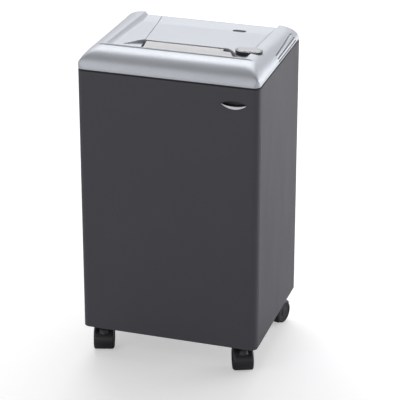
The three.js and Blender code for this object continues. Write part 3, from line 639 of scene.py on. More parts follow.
@dataclass(frozen=True)
class FlakedPaint(Finish):
    """Silver paint with metal flakes under a clear coat."""

    flake_scale: float = 2600.0
    flake_spread: float = 0.16

    def texture(self, wire: Wiring, effects: Effects) -> tuple[Output, Output]:
        """Flakes in place of a grain; see Finish.texture."""
        flakes = effects.flakes.place(wire, scale=self.flake_scale, spread=self.flake_spread)
        grain = effects.grain.place(wire, scale=self.grain_scale, spread=self.tone_spread)
        tone = wire.math("MULTIPLY", flakes["Tone"], grain["Tone"])
        height = wire.math("ADD", grain["Height"], wire.math("MULTIPLY", flakes["Height"], 0.25))
        return tone, height


@dataclass(frozen=True)
class BrushedMetal(Finish):
    """Rolled, plated or ground metal with fine lines."""

    metallic: float = 1.0
    line_scale: float = 60.0
    line_spread: float = 0.08

    def texture(self, wire: Wiring, effects: Effects) -> tuple[Output, Output]:
        """Drawn lines in place of a grain; see Finish.texture."""
        lines = effects.brushing.place(wire, scale=self.line_scale, spread=self.line_spread)
        return lines["Tone"], lines["Height"]


@dataclass(frozen=True)
class ClearPlastic(Finish):
    """Frosted or tinted plastic that lets some light through."""

    transmission: float = 0.3
    ior: float = 1.49

    def refine(self, shader: bpy.types.Node) -> None:
        """Lets light through."""
        shader.inputs["Transmission Weight"].default_value = self.transmission
        shader.inputs["IOR"].default_value = self.ior


FINISHES = {
    finish.slot: finish
    for finish in (
        Finish(
            "dark laminate", "laminate", (0.075, 0.072, 0.085), roughness=0.46, specular=0.22,
            grain_scale=420.0, grain_depth=mm(0.05), tone_spread=0.09, mottle=0.05,
            handling=0.07, wear=0.35, wear_colour=(0.12, 0.12, 0.125), dust=0.05,
        ),
        FlakedPaint(
            "silver paint", "silver_shell", (0.56, 0.58, 0.625), roughness=0.48, metallic=0.5,
            coat=0.2, coat_roughness=0.34, grain_scale=1400.0, grain_depth=mm(0.012),
            tone_spread=0.03, mottle=0.02, handling=0.06, wear=0.2,
            wear_colour=(0.75, 0.75, 0.77), dust=0.04,
        ),
        Finish(
            "black moulding", "black_moulding", (0.0125, 0.0125, 0.016), roughness=0.34,
            grain_scale=1100.0, grain_depth=mm(0.04), wear=0.3, wear_colour=(0.05, 0.05, 0.055),
            dust=0.07,
        ),
        Finish(
            "wheel tread", "wheel_tread", (0.016, 0.016, 0.019), roughness=0.68,
            grain_scale=700.0, grain_depth=mm(0.06), handling=0.16, wear=0.5,
            wear_colour=(0.09, 0.088, 0.085), dust=0.16,
        ),
        BrushedMetal(
            "zinc plated steel", "plated_steel", (0.56, 0.57, 0.58), roughness=0.34,
            grain_depth=mm(0.01), wear=0.25, wear_colour=(0.75, 0.75, 0.75), dust=0.06,
        ),
        BrushedMetal(
            "blackened steel", "dark_steel", (0.11, 0.11, 0.12), roughness=0.38,
            grain_depth=mm(0.012), wear=0.5, wear_colour=(0.4, 0.4, 0.41), dust=0.06,
        ),
        BrushedMetal(
            "machined gear steel", "gear_steel", (0.46, 0.46, 0.47), roughness=0.28,
            grain_depth=mm(0.01), line_scale=90.0, wear=0.4, wear_colour=(0.7, 0.7, 0.7),
            dust=0.02,
        ),
        BrushedMetal(
            "polished chrome", "bright_chrome", (0.82, 0.82, 0.84), roughness=0.09,
            grain_depth=mm(0.001), line_spread=0.02, handling=0.04, mottle=0.01, wear=0.0,
            dust=0.02,
        ),
        ClearPlastic(
            "frosted clear plastic", "clear_flap", (0.78, 0.76, 0.765), roughness=0.3,
            transmission=0.12, grain_scale=600.0, grain_depth=mm(0.008), tone_spread=0.02,
            wear=0.2, wear_colour=(0.9, 0.9, 0.9), dust=0.05,
        ),
        Finish(
            "bin moulding", "bin_plastic", (0.045, 0.045, 0.05), roughness=0.55,
            grain_scale=800.0, grain_depth=mm(0.05), wear=0.3, wear_colour=(0.14, 0.14, 0.14),
            dust=0.14, dust_colour=(0.6, 0.59, 0.57),
        ),
        Finish(
            "circuit board", "circuit_board", (0.018, 0.10, 0.045), roughness=0.35, coat=0.4,
            grain_scale=500.0, grain_depth=mm(0.02), tone_spread=0.14, wear=0.2, dust=0.1,
        ),
        BrushedMetal(
            "sintered bronze", "bronze_bush", (0.42, 0.28, 0.11), roughness=0.42,
            grain_depth=mm(0.015), wear=0.3, wear_colour=(0.6, 0.45, 0.25), dust=0.03,
        ),
        ClearPlastic(
            "smoked window", "smoked_window", (0.02, 0.021, 0.024), roughness=0.1,
            transmission=0.0, specular=0.25, grain_scale=1500.0, grain_depth=mm(0.002),
            wear=0.0, dust=0.03,
        ),
    )
}


# ---- Placing and dressing ----


class Shop:
    """Dresses pieces with finishes and fastens them to the frame's bodies."""

    def __init__(self) -> None:
        """Builds the shared effects and every finish."""
        self.effects = Effects()
        self.materials = {slot: kind.build(self.effects) for slot, kind in FINISHES.items()}
        self.placed = 0

    def dress(self, piece: Piece, slot: str) -> None:
        """Gives a piece one finish, the one of its slot."""
        piece.data.materials.clear()
        piece.data.materials.append(self.materials[slot])

    def fit(self, piece: Piece, slot: str, body: str, *nodes: str) -> None:
        """Dresses a new piece and sets it on a body in place of CAD nodes.

        Args:
            piece: The new piece, where it stands at rest.
            slot: The finish's slot.
            body: The body that it moves with.
            nodes: The CAD nodes that it stands for.
        """
        self.dress(piece, slot)
        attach(piece, body)
        if nodes:
            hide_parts(*nodes)
        self.placed += 1
        LOG.info("%s on %s in %s", piece.name, body, slot)

    def carry(self, slot: str, bevel: float, *nodes: str) -> None:
        """Keeps CAD nodes as they are and dresses them, with eased edges if bevel isn't 0."""
        for node in nodes:
            piece = frame["nodes"][node]
            self.dress(piece, slot)
            piece.data.shade_smooth()
            crisp(piece, 30.0)
            if bevel:
                eased(piece, bevel, 2, 35.0)
            LOG.info("%s carried over in %s", node, slot)


@dataclass
class Span:
    """The room a CAD node takes, low corner to high."""

    low: Vector
    high: Vector

    @classmethod
    def of(cls, node: str) -> "Span":
        """The span of a node of the frame."""
        return cls(*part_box(node))

    @property
    def centre(self) -> Vector:
        """The middle of the span."""
        return (self.low + self.high) / 2

    @property
    def half(self) -> Vector:
        """Half its size along each axis."""
        return (self.high - self.low) / 2

    def oval(self, grow: float = 0.0, steps: int = 20) -> list[Point]:
        """The oval that fills the span seen from above, grown by a length."""
        half = (self.half.x + grow, self.half.y + grow)
        return rounded_box((self.centre.x, self.centre.y), half, half[1] - mm(0.02), steps)


def joint_place(name: str) -> Vector:
    """Where a joint of the frame is."""
    return Vector(next(joint["pos_m"] for joint in frame["joints"] if joint["name"] == name))


# ---- Cabinet, door and bin ----


@dataclass
class Cabinet:
    """The boards that the head stands on."""

    bevel: float = mm(0.8)
    boards: tuple[str, ...] = ("left_board", "right_board", "base_board", "back_board")

    def build(self, shop: Shop) -> None:
        """Dresses the boards, the tray, the hinge and the catch."""
        shop.carry("laminate", self.bevel, *self.boards)
        shop.carry("black_moulding", mm(0.5), "head_tray", "door_catch")
        leaves = ("hinge_leaf_board", "hinge_leaf_door")
        shop.carry("plated_steel", mm(0.15), *leaves, "door_strike", "hinge_pin")


@dataclass
class Pull:
    """The crescent finger pull in the door, a dark pocket over a bright lip."""

    centre: Vector = field(default_factory=lambda: Span.of("pull_cup").centre)
    half: float = field(default_factory=lambda: Span.of("pull_cup").half.x)
    front: float = field(default_factory=lambda: Span.of("door").low.y)
    rise: float = mm(7)
    fall: float = mm(11)
    depth: float = mm(10)
    wall: float = mm(1.2)
    lip_reach: float = mm(6.2)
    lip_seat: float = mm(3.2)

    @property
    def line(self) -> float:
        """The height of the pull's widest line."""
        return Span.of("pull_cup").high.z - self.rise

    def outline(self, grow: float) -> list[Point]:
        """The pocket's outline, grown by a length."""
        x, z, half = self.centre.x, self.line, self.half + grow
        low = [(x - half, z), (x, z - 2 * (self.fall + grow)), (x + half, z)]
        high = [(x + half, z), (x, z + 2 * (self.rise + grow)), (x - half, z)]
        return bezier(low, 36) + bezier(high, 36)

    def crescent(self) -> list[Point]:
        """The lip's outline, a smile along the pocket's lower edge."""
        x, z, half = self.centre.x, self.line - mm(0.3), self.half - mm(0.3)
        low = [(x - half, z), (x, z - 2 * self.fall + mm(0.4)), (x + half, z)]
        high = [(x + half, z), (x, z - 2 * self.fall + self.lip_reach * 2), (x - half, z)]
        return bezier(low, 40) + bezier(high, 40)

    def build(self, shop: Shop) -> None:
        """Makes the cup and the lip."""
        low, depth = self.front, self.depth
        cup = prism("finger_cup", self.outline(0), low + mm(0.2), low + depth, Axis.Y)
        hollow = step(self.outline(-self.wall), low - PAST, low + depth - self.wall, Axis.Y)
        reach = self.half + PAST
        seat_low = (self.centre.x - reach, low - PAST, self.line - 2 * self.fall - PAST)
        seat_high = (self.centre.x + reach, low + self.lip_seat, self.line + mm(0.2))
        shaped(cup, Join.CUT, hollow, box("step", seat_low, seat_high))
        eased(cup, mm(0.3))
        shop.fit(cup, "black_moulding", "door", "pull_cup")
        lip = prism("bright_lip", self.crescent(), low + mm(0.1), low + mm(3), Axis.Y)
        eased(lip, mm(1.1), 5, 60.0, sharp=0.0)
        shop.fit(lip, "bright_chrome", "door", "pull_lip")


@dataclass
class Door:
    """The cabinet's whole front, with rounded upright edges."""

    span: Span = field(default_factory=lambda: Span.of("door"))
    radius: float = mm(14.4)
    bevel: float = mm(0.9)
    groove: float = mm(2.4)
    pull: Pull = field(default_factory=Pull)

    def build(self, shop: Shop) -> None:
        """Makes the slab, cut for the hinge and the pull."""
        low, high, radius = self.span.low, self.span.high, self.radius
        outline = [(low.x, high.y)]
        outline += arc((low.x + radius, low.y + radius), radius, 180, 270, 20)
        outline += arc((high.x - radius, low.y + radius), radius, 270, 360, 20)
        outline.append((high.x, high.y))
        slab = prism("door_slab", outline, low.z, high.z)
        leaf = Span.of("hinge_leaf_door")
        rebate_low = (low.x - PAST, leaf.low.y - mm(0.2), leaf.low.z - mm(0.3))
        rebate_high = (leaf.high.x + mm(0.3), high.y + PAST, leaf.high.z + mm(0.3))
        hinge = joint_place("door_hinge")
        pin = rod(self.groove, low.z - PAST, high.z + PAST)
        groove = turned("step", pin, (hinge.x, hinge.y, 0), Axis.Z, 32)
        pull = self.pull
        edge = pull.outline(mm(0.3))
        pocket = step(edge, low.y - PAST, low.y + pull.depth + mm(0.3), Axis.Y)
        shaped(slab, Join.CUT, box("step", rebate_low, rebate_high), groove, pocket)
        eased(slab, self.bevel, 3)
        shop.fit(slab, "laminate", "door", "door")
        pull.build(shop)


@dataclass
class ShredBin:
    """The bin that stands inside the cabinet, with a turned-out rim and stiffening ribs."""

    span: Span = field(default_factory=lambda: Span.of("shred_bin"))
    corner: float = mm(14)
    rim_out: float = mm(5)
    rim_tall: float = mm(10)
    wall: float = mm(2.5)
    ribs: int = 9
    rib_pitch: float = 0.2
    rib_half: Point = (mm(3), mm(2.4))
    rib_foot: float = mm(40)

    def outline(self, inset: float) -> list[Point]:
        """The bin's plan, inset by a length."""
        centre, half = self.span.centre, self.span.half
        inner = (half.x - inset, half.y - inset)
        return rounded_box((centre.x, centre.y), inner, self.corner + self.rim_out - inset, 10)

    def build(self, shop: Shop) -> None:
        """Makes the bin in one piece."""
        low, high = self.span.low.z, self.span.high.z
        tub = prism("shred_tub", self.outline(self.rim_out), low, high)
        rim = step(self.outline(0), high - self.rim_tall, high)
        shaped(tub, Join.ADD, rim)
        face = self.span.low.y + self.rim_out
        pitch = self.rib_pitch * self.span.half.x
        for i in range(self.ribs):
            x = self.span.centre.x + (i - (self.ribs - 1) / 2) * pitch
            plan = rounded_box((x, face), self.rib_half, mm(2), 4)
            shaped(tub, Join.ADD, step(plan, low + self.rib_foot, high - self.rim_tall))
        hollow = step(self.outline(self.rim_out + self.wall), low + self.wall, high + PAST)
        shaped(tub, Join.CUT, hollow)
        eased(tub, mm(0.6))
        shop.fit(tub, "bin_plastic", "cabinet", "shred_bin")


# ---- Hood ----


@dataclass
class HoodSkin:
    """The hood's surface: a front roll, two side ridges and the dish between them."""

    span: Span = field(default_factory=lambda: Span.of("hood"))
    lift: float = mm(4)
    crown_rise: float = mm(45)
    crown_y: float = mm(54)
    crown_flat: float = mm(5)
    roll_back: float = mm(13)
    ridge_inset: float = mm(45)
    ridge_back: float = mm(29)
    dish_front: float = mm(37.5)
    dish_back: float = mm(19)
    blend: float = mm(14)
    corner: float = mm(14.4)
    soft: float = mm(9)
    soft_fade: float = mm(6)
    roll_drop: float = 0.55

    @property
    def ground(self) -> float:
        """The height of the cabinet's top."""
        return self.span.low.z - self.lift

    @property
    def sky(self) -> float:
        """A height over everything on the hood, for tools that cut down into it."""
        return self.ground + mm(80)

    def rise(self, x: float, y: float, inset: float) -> float:
        """How far the skin is over the cabinet's top.

        Args:
            x: The point's place across the hood.
            y: The point's place along the hood.
            inset: How far inside the outer skin.

        Returns:
            The rise at that point.
        """
        depth = self.span.high.y - self.span.low.y
        from_front = y - self.span.low.y
        back = clamp((from_front - self.crown_y) / (depth - self.crown_y))
        top = self.crown_rise - inset - self.lift
        roll = top
        behind = from_front - self.crown_y - self.crown_flat + 2 * inset
        if from_front < self.crown_y:
            reach = min(1.0, (self.crown_y - from_front) / (self.crown_y - inset))
            roll = top * math.sqrt(1 - reach * reach)
        elif behind > 0:
            roll = top * (1 - self.roll_drop * min(1.0, behind / self.roll_back) ** 2)
        ridge = lerp(self.crown_rise, self.ridge_back, back) - inset - self.lift
        ridge_x = self.span.high.x - self.ridge_inset
        out = clamp((abs(x) - ridge_x) / (self.ridge_inset - inset))
        side = ridge * math.sqrt(1 - out * out)
        low = lerp(self.dish_front, self.dish_back, back) - inset - self.lift
        inward = clamp((ridge_x - abs(x)) / self.blend)
        dish = lerp(ridge, low, inward * (2 - inward))
        inner = max(roll, dish if from_front > self.crown_y + self.crown_flat / 2 else 0.0)
        if from_front < self.crown_y:
            soft = self.soft * (1 - inset / self.soft_fade)
            return self.lift + max(0.0, soft_min(side, inner, soft))
        return self.lift + min(side, inner)

    def stations(self, inset: float, steps: int) -> tuple[list[float], list[float]]:
        """Grid lines that follow the skin's curves.

        Args:
            inset: How far inside the outer skin.
            steps: How many lines each quarter round has.

        Returns:
            The places across and along the hood.
        """
        turns = [math.sin(math.pi / 2 * i / steps) for i in range(steps + 1)]
        ridge_x = self.span.high.x - self.ridge_inset
        half = [ridge_x + (self.ridge_inset - inset) * turn for turn in turns]
        half += [ridge_x - self.blend * i / steps for i in range(1, steps + 1)]
        half += [(ridge_x - self.blend) * i / steps for i in range(steps)]
        across = sorted({*half, *(-x for x in half)})
        front, crown = self.span.low.y, self.span.low.y + self.crown_y
        along = [crown - (self.crown_y - inset) * turn for turn in turns]
        behind = crown + self.crown_flat - 2 * inset
        along += [behind + self.roll_back * i / steps for i in range(steps + 1)]
        start, end = behind + self.roll_back, self.span.high.y - inset
        along += [lerp(start, end, i / (2 * steps)) for i in range(1, 2 * steps + 1)]
        along += [crown + self.crown_flat / 2, crown + self.crown_flat / 2 + mm(0.2)]
        return across, sorted(y for y in set(along) if y >= front + inset - TINY)

    def layer(
        self,
        name: str,
        inset: float,
        top: Callable[[float, float], float],
        bottom: Callable[[float, float], float],
        steps: int,
    ) -> Piece:
        """A block between two height functions over the hood's grid.

        Args:
            name: The block's name.
            inset: How far inside the outer skin the grid ends.
            top: The upper side's height at a place.
            bottom: The lower side's height at a place.
            steps: How fine the grid is.

        Returns:
            The block.
        """
        across, along = self.stations(inset, steps)
        draft = Draft()
        upper = [draft.ring(Vector((x, y, top(x, y))) for x in across) for y in along]
        lower = [draft.ring(Vector((x, y, bottom(x, y))) for x in across) for y in along]
        for sheet in (upper, lower):
            for near, far in zip(sheet, sheet[1:]):
                draft.bridge(near, far, closed=False)
        draft.bridge(upper[0], lower[0], closed=False)
        draft.bridge(upper[-1], lower[-1], closed=False)
        for end in (0, -1):
            draft.bridge([row[end] for row in upper], [row[end] for row in lower], closed=False)
        return draft.build(name)

    def plan(self, inset: float) -> list[Point]:
        """The hood's outline seen from above."""
        low, high = self.span.low, self.span.high
        radius = self.corner - inset
        left, right = low.x + inset, high.x - inset
        front = low.y + inset
        outline = [(left, high.y - inset)]
        outline += arc((left + radius, front + radius), radius, 180, 270, 16)
        outline += arc((right - radius, front + radius), radius, 270, 360, 16)
        return [*outline, (right, high.y - inset)]

    def body(self, name: str, inset: float, low: float, drop: float, steps: int) -> Piece:
        """The solid under the skin, down to a level.

        Args:
            name: Its name.
            inset: How far inside the outer skin.
            low: The level it reaches down to.
            drop: How much lower than the skin it is.
            steps: How fine its grid is.

        Returns:
            The solid.
        """
        floor = low + mm(0.5)
        field_block = self.layer(
            name,
            inset,
            lambda x, y: max(floor, self.ground + self.rise(x, y, inset) - drop),
            lambda x, y: low,
            steps,
        )
        plan = step(self.plan(inset), low - mm(1), self.sky)
        return shaped(field_block, Join.KEEP, plan)

    def shell(self, name: str, outline: Sequence[Point], over: float, under: float) -> Piece:
        """The part of the skin inside an outline, between two offsets from it."""
        block = self.layer(
            name,
            0.0,
            lambda x, y: self.ground + self.rise(x, y, 0.0) + over,
            lambda x, y: self.ground + self.rise(x, y, 0.0) - under,
            24,
        )
        return shaped(block, Join.KEEP, step(outline, self.ground, self.sky))


@dataclass
class Recess:
    """The feed recess behind the roll, with a tail that runs out to the left."""

    front: float = mm(-94)
    back: float = mm(-19)
    left: float = mm(-90)
    right: float = mm(86)
    tail: float = mm(55)

    def outline(self, grow: float) -> list[Point]:
        """The recess seen from above, grown by a length."""
        front, back = self.front - grow, self.back + grow
        tail = self.left - self.tail - grow
        right = self.right
        outline = [(tail, front), (right + mm(44) + grow, front)]
        bulge, shoulder = (right + mm(40) + grow, mm(-62)), (right + mm(22) + grow, mm(-39) + grow)
        outline += bezier([outline[-1], bulge, shoulder], 16)
        outline += bezier([outline[-1], (right + mm(8), back), (right - mm(6), back)], 12)
        start, left = (self.left, back), self.left - grow
        sweep = [start, (left - mm(14), back), (left - mm(34), mm(-72)), (tail, front + mm(5))]
        return [*outline, start, *bezier(sweep, 28)]


@dataclass
class Hood:
    """The silver hood with its recess, panel seam, vents and switch seat."""

    skin: HoodSkin = field(default_factory=HoodSkin)
    recess: Recess = field(default_factory=Recess)
    wall: float = mm(3)
    seam: float = mm(1.2)
    gap: float = mm(0.4)
    panel_thick: float = mm(3)
    panel_front: float = mm(-21)
    panel_right: float = mm(147)
    panel_left_front: float = mm(-92)
    panel_left_back: float = mm(-113)
    vent_rises: tuple[float, ...] = (mm(21.5), mm(14.5), mm(8.2))
    vent_height: float = mm(3)
    vent_depth: float = mm(14)
    vent_front: float = mm(-8)
    vent_back: float = mm(132)
    rear_slots: int = 7
    rear_pitch: float = mm(14)
    ramp_gap: float = mm(5)
    ramp_foot: float = mm(24)
    boss_half: Point = (mm(30), mm(17.5))
    seat_grow: float = mm(1.8)
    seat_drop: float = mm(1.7)
    crease: float = 28.0

    def panel_outline(self, side: float, front: float) -> list[Point]:
        """The top panel seen from above, grown at its side and its other edges."""
        back = self.skin.span.high.y - mm(4) + front
        near = self.panel_front - front
        right = self.panel_right + front
        left_near, left_far = self.panel_left_front - side, self.panel_left_back - side
        return [(left_near, near), (right, near), (right, back), (left_far, back)]

    def room(self) -> Piece:
        """The hollow under the hood, without the recess walls and the switch boss."""
        skin, wall = self.skin, self.wall
        low = skin.span.low.z - mm(1)
        drop = self.panel_thick + self.gap
        zone = self.panel_outline(wall, wall)
        hollow = skin.body("step", wall, low, 0.0, 12)
        shaped(hollow, Join.CUT, step(zone, low - mm(1), skin.sky))
        under = skin.body("step", wall, low, drop, 12)
        shaped(under, Join.KEEP, step(zone, low - mm(1), skin.sky))
        shaped(hollow, Join.ADD, under)
        seat = Span.of("rocker").centre
        boss = rounded_box((seat.x, seat.y), self.boss_half, self.boss_half[1] - mm(0.1), 12)
        skirt = step(self.recess.outline(mm(2.4)), skin.ground + mm(15), skin.sky)
        stand = step(boss, low + mm(15), skin.sky)
        return shaped(hollow, Join.CUT, skirt, stand)

    def recess_cuts(self) -> tuple[Piece, Piece]:
        """The recess as two cuts: a deep well, and a tail that ramps up to the skin."""
        recess, ground, low = self.recess, self.skin.ground, self.skin.span.low.z - PAST
        end = recess.left - self.ramp_gap
        over = self.skin.sky + mm(20)
        reach = box("step", (end, -FAR, low), (FAR, FAR, over))
        well = step(recess.outline(0), low, self.skin.sky)
        shaped(well, Join.KEEP, reach)
        foot = (end + mm(0.1), ground + self.ramp_foot)
        tip = (recess.left - recess.tail - mm(4), ground + self.skin.crown_rise)
        side = [(foot[0], over), foot]
        side += bezier([foot, (lerp(foot[0], tip[0], 0.45), ground + mm(30)), tip], 20)
        side.append((tip[0], over))
        ramp = step(side, -FAR, FAR, Axis.Y)
        tail = step(recess.outline(0), low, self.skin.sky)
        shaped(tail, Join.KEEP, ramp)
        return well, tail

    def cut_vents(self, hood: Piece) -> None:
        """Cuts the long slots in both sides and the short ones at the back."""
        ground, span = self.skin.ground, self.skin.span
        for rise in self.vent_rises:
            half = ((self.vent_back - self.vent_front) / 2, self.vent_height / 2)
            middle = ((self.vent_front + self.vent_back) / 2, ground + rise)
            plan = rounded_box(middle, half, half[1] - mm(0.02), 5)
            left = step(plan, span.low.x - PAST, span.low.x + self.vent_depth, Axis.X)
            right = step(plan, span.high.x - self.vent_depth, span.high.x + PAST, Axis.X)
            shaped(hood, Join.CUT, left, right)
        for i in range(self.rear_slots):
            x = (i - (self.rear_slots - 1) / 2) * self.rear_pitch
            plan = rounded_box((x, span.low.z + mm(5.5)), (mm(3), mm(2.5)), mm(1.2), 4)
            slot = step(plan, span.high.y - mm(8), span.high.y + PAST, Axis.Y)
            shaped(hood, Join.CUT, slot)

    def build(self, shop: Shop) -> None:
        """Makes the hood, its panel and the window."""
        skin = self.skin
        low = skin.span.low.z
        hood = skin.body("hood_shell", 0.0, low, 0.0, 26)
        shaped(hood, Join.CUT, self.room())
        edge = self.panel_outline(self.seam, self.gap)
        pocket = skin.shell("step", edge, mm(5), self.panel_thick + self.gap)
        shaped(hood, Join.CUT, *self.recess_cuts(), pocket)
        seat = Span.of("rocker_bezel")
        plan = seat.oval(self.seat_grow, 14)
        shaped(hood, Join.CUT, step(plan, seat.low.z - self.seat_drop, skin.sky))
        self.cut_vents(hood)
        cleaned(hood)
        eased(hood, mm(0.5), 2, self.crease, self.crease)
        shop.fit(hood, "silver_shell", "cabinet", "hood")
        # the black strip under the hood's edge is painted shadow in the gap
        self.build_gap_shadow(shop)
        panel = skin.shell("top_plate", self.panel_outline(0, 0), 0.0, self.panel_thick)
        self.build_window(shop, panel)
        cleaned(panel)
        eased(panel, mm(0.45), 2, self.crease, self.crease)
        shop.fit(panel, "silver_shell", "cabinet", "top_panel")

    def build_gap_shadow(self, shop: Shop) -> None:
        """Makes the black strip in the gap between the hood and the cabinet: painted shadow that
        darkens the gap.
        """
        skin = self.skin
        low, high = skin.ground + mm(0.9), skin.span.low.z - mm(0.2)
        # painted shadow: a black strip that makes the gap under the hood read darker than its own
        # shade
        strip = prism("painted_gap_shadow", skin.plan(mm(1)), low, high)
        shaped(strip, Join.CUT, step(skin.plan(mm(4)), low - PAST, high + PAST))
        eased(strip, mm(0.3))
        shop.fit(strip, "black_moulding", "cabinet")

    def build_window(self, shop: Shop, panel: Piece) -> None:
        """Cuts the window's pocket in the panel and sets the lens in it."""
        skin, view = self.skin, Span.of("indicator_window")
        centre = (view.centre.x, view.centre.y)
        pocket_plan, lens_plan = (
            rounded_box(centre, (half, low), low - mm(0.05), 12)
            for half, low in ((mm(15.3), mm(6.3)), (mm(15), mm(6)))
        )
        shaped(panel, Join.CUT, skin.shell("step", pocket_plan, mm(1), mm(1.4)))
        lens = skin.shell("smoked_lens", lens_plan, 0.0, mm(1.1))
        cleaned(lens)
        eased(lens, mm(0.25))
        shop.fit(lens, "smoked_window", "cabinet", "indicator_window")


@dataclass
class RockerSwitch:
    """The oval rocker in its bright bezel."""

    seat: Span = field(default_factory=lambda: Span.of("rocker_bezel"))
    cap: Span = field(default_factory=lambda: Span.of("rocker"))
    rim: float = mm(1.9)
    rock: float = mm(1.5)
    # how far the black ring of painted shade reaches out round the bezel
    shade_ring_width: float = mm(1.5)

    def build(self, shop: Shop) -> None:
        """Makes the bezel and the rocker."""
        seat, cap = self.seat, self.cap
        ring = prism("switch_bezel", seat.oval(), seat.low.z, seat.high.z)
        hole = step(seat.oval(-self.rim), seat.low.z + mm(3), seat.high.z + PAST)
        shaped(ring, Join.CUT, hole)
        eased(ring, mm(0.8), 4)
        shop.fit(ring, "bright_chrome", "cabinet", "rocker_bezel")
        # the black ring round the bezel is painted shade
        self.build_shade_ring(shop)
        x, half, low, high = cap.centre.x, cap.half.x, cap.low.z, cap.high.z
        foot, edge = low + mm(1.4), high - self.rock
        side = [(x - half, foot), (x - mm(5), low), (x + mm(5), low), (x + half, foot)]
        side.append((x + half, edge))
        side += bezier([side[-1], (x, high + self.rock), (x - half, edge)], 24)
        button = prism("rocker_button", side, cap.low.y - PAST, cap.high.y + PAST, Axis.Y)
        shaped(button, Join.KEEP, step(cap.oval(), low - PAST, high + PAST))
        eased(button, mm(1.2), 5, 50.0)
        shop.fit(button, "bright_chrome", "switch_rocker", "rocker")

    def build_shade_ring(self, shop: Shop) -> None:
        """Makes the black ring between the bezel and the hood: painted shade that gives the bezel
        a dark outline.
        """
        seat = self.seat
        top = seat.high.z - mm(0.9)
        # painted shade: a black ring that darkens the foot of the bezel
        ring = prism("switch_shade_ring", seat.oval(self.shade_ring_width), seat.low.z + mm(2), top)
        shaped(ring, Join.CUT, step(seat.oval(mm(0.1)), seat.low.z, top + PAST))
        eased(ring, mm(0.4), 3)
        shop.fit(ring, "black_moulding", "cabinet")


@dataclass
class FeedHead:
    """The throat, the flap over it, and the sensor and switches beside it."""

    hinge: Vector = field(default_factory=lambda: joint_place("flap_hinge"))
    span: Span = field(default_factory=lambda: Span.of("safety_flap"))
    pin: Span = field(default_factory=lambda: Span.of("flap_pin"))
    barrel: float = mm(3)
    tiles: int = 4
    tile_height: float = mm(0.6)
    right: float = mm(122.5)
    trim: Point = (mm(660), mm(750))
    ramp_top: float = mm(4.4)
    ramp_share: float = 0.34
    tile_share: float = 0.3
    tile_first: float = mm(9)
    tile_pitch: float = mm(16)
    bore: float = mm(1.7)

    def build(self, shop: Shop) -> None:
        """Makes the flap and dresses the rest."""
        self.build_flap(shop)
        shop.carry("black_moulding", mm(0.3), "feed_throat", "flap_switch", "paper_sensor")
        shop.carry("plated_steel", 0.0, "flap_pin")
        shop.carry("circuit_board", mm(0.15), "control_board")

    def ramp(self, tip: Point) -> list[Point]:
        """The side outline of the ramp that leads from the panel's edge down to the blade."""
        hinge, share = self.hinge, self.ramp_share
        top = (hinge.y + mm(3), hinge.z + self.ramp_top)
        foot = (lerp(tip[0], hinge.y, share), lerp(tip[1], hinge.z, share) + mm(0.6))
        curve = bezier([top, (hinge.y - mm(12), hinge.z + mm(2.4)), foot], 14)
        under = (hinge.y - mm(2), hinge.z + mm(0.4))
        return [(hinge.y + mm(3), hinge.z + mm(0.4)), top, *curve, under]

    def build_flap(self, shop: Shop) -> None:
        """Makes the flap: a barrel, a ramped blade with a rounded lip, and raised tiles."""
        hinge, span = self.hinge, self.span
        tip = (span.low.y + mm(1.2), span.low.z + mm(1))
        blade = [
            (hinge.y, hinge.z - mm(1)),
            (hinge.y, hinge.z + mm(1)),
            (tip[0], tip[1] + mm(1)),
            *arc(tip, mm(1), 110, 250, 8),
        ]
        flap = prism("feed_flap", blade, span.low.x, self.right, Axis.X)
        shaped(flap, Join.ADD, step(self.ramp(tip), span.low.x, self.right, Axis.X))
        shaped(flap, Join.KEEP, step(Recess().outline(mm(-3)), *self.trim))
        left, right = self.pin.low.x + mm(1.6), self.pin.high.x - mm(1.6)
        axis = (0, hinge.y, hinge.z)
        tube = [(self.bore, left), (self.barrel, left), (self.barrel, right), (self.bore, right)]
        clear_low = (right, hinge.y - mm(6), hinge.z - mm(8))
        clear_high = (right + mm(60), hinge.y + mm(8), hinge.z + mm(8))
        barrel = turned("step", tube, axis, Axis.X, 32)
        bore = rod(self.bore, left - PAST, right + PAST)
        shaped(flap, Join.CUT, turned("step", bore, axis, Axis.X, 32))
        shaped(flap, Join.ADD, barrel)
        shaped(flap, Join.CUT, box("step", clear_low, clear_high))
        slope = math.atan2(hinge.z - tip[1], hinge.y - tip[0])
        for i in range(self.tiles):
            x, share = self.tile_first + self.tile_pitch * i, self.tile_share
            spot = (x, lerp(tip[0], hinge.y, share), lerp(tip[1], hinge.z, share) + mm(1.6))
            plan = rounded_box((0, 0), (mm(5.2), mm(4)), mm(1.2), 4)
            tile = step(plan, mm(-0.6), self.tile_height)
            tile.data.transform(Matrix.Translation(spot) @ Matrix.Rotation(slope, 4, "X"))
            shaped(flap, Join.ADD, tile)
        eased(flap, mm(0.25))
        shop.fit(flap, "clear_flap", "flap", "safety_flap")


# ---- Cutting head, drive and inlet ----


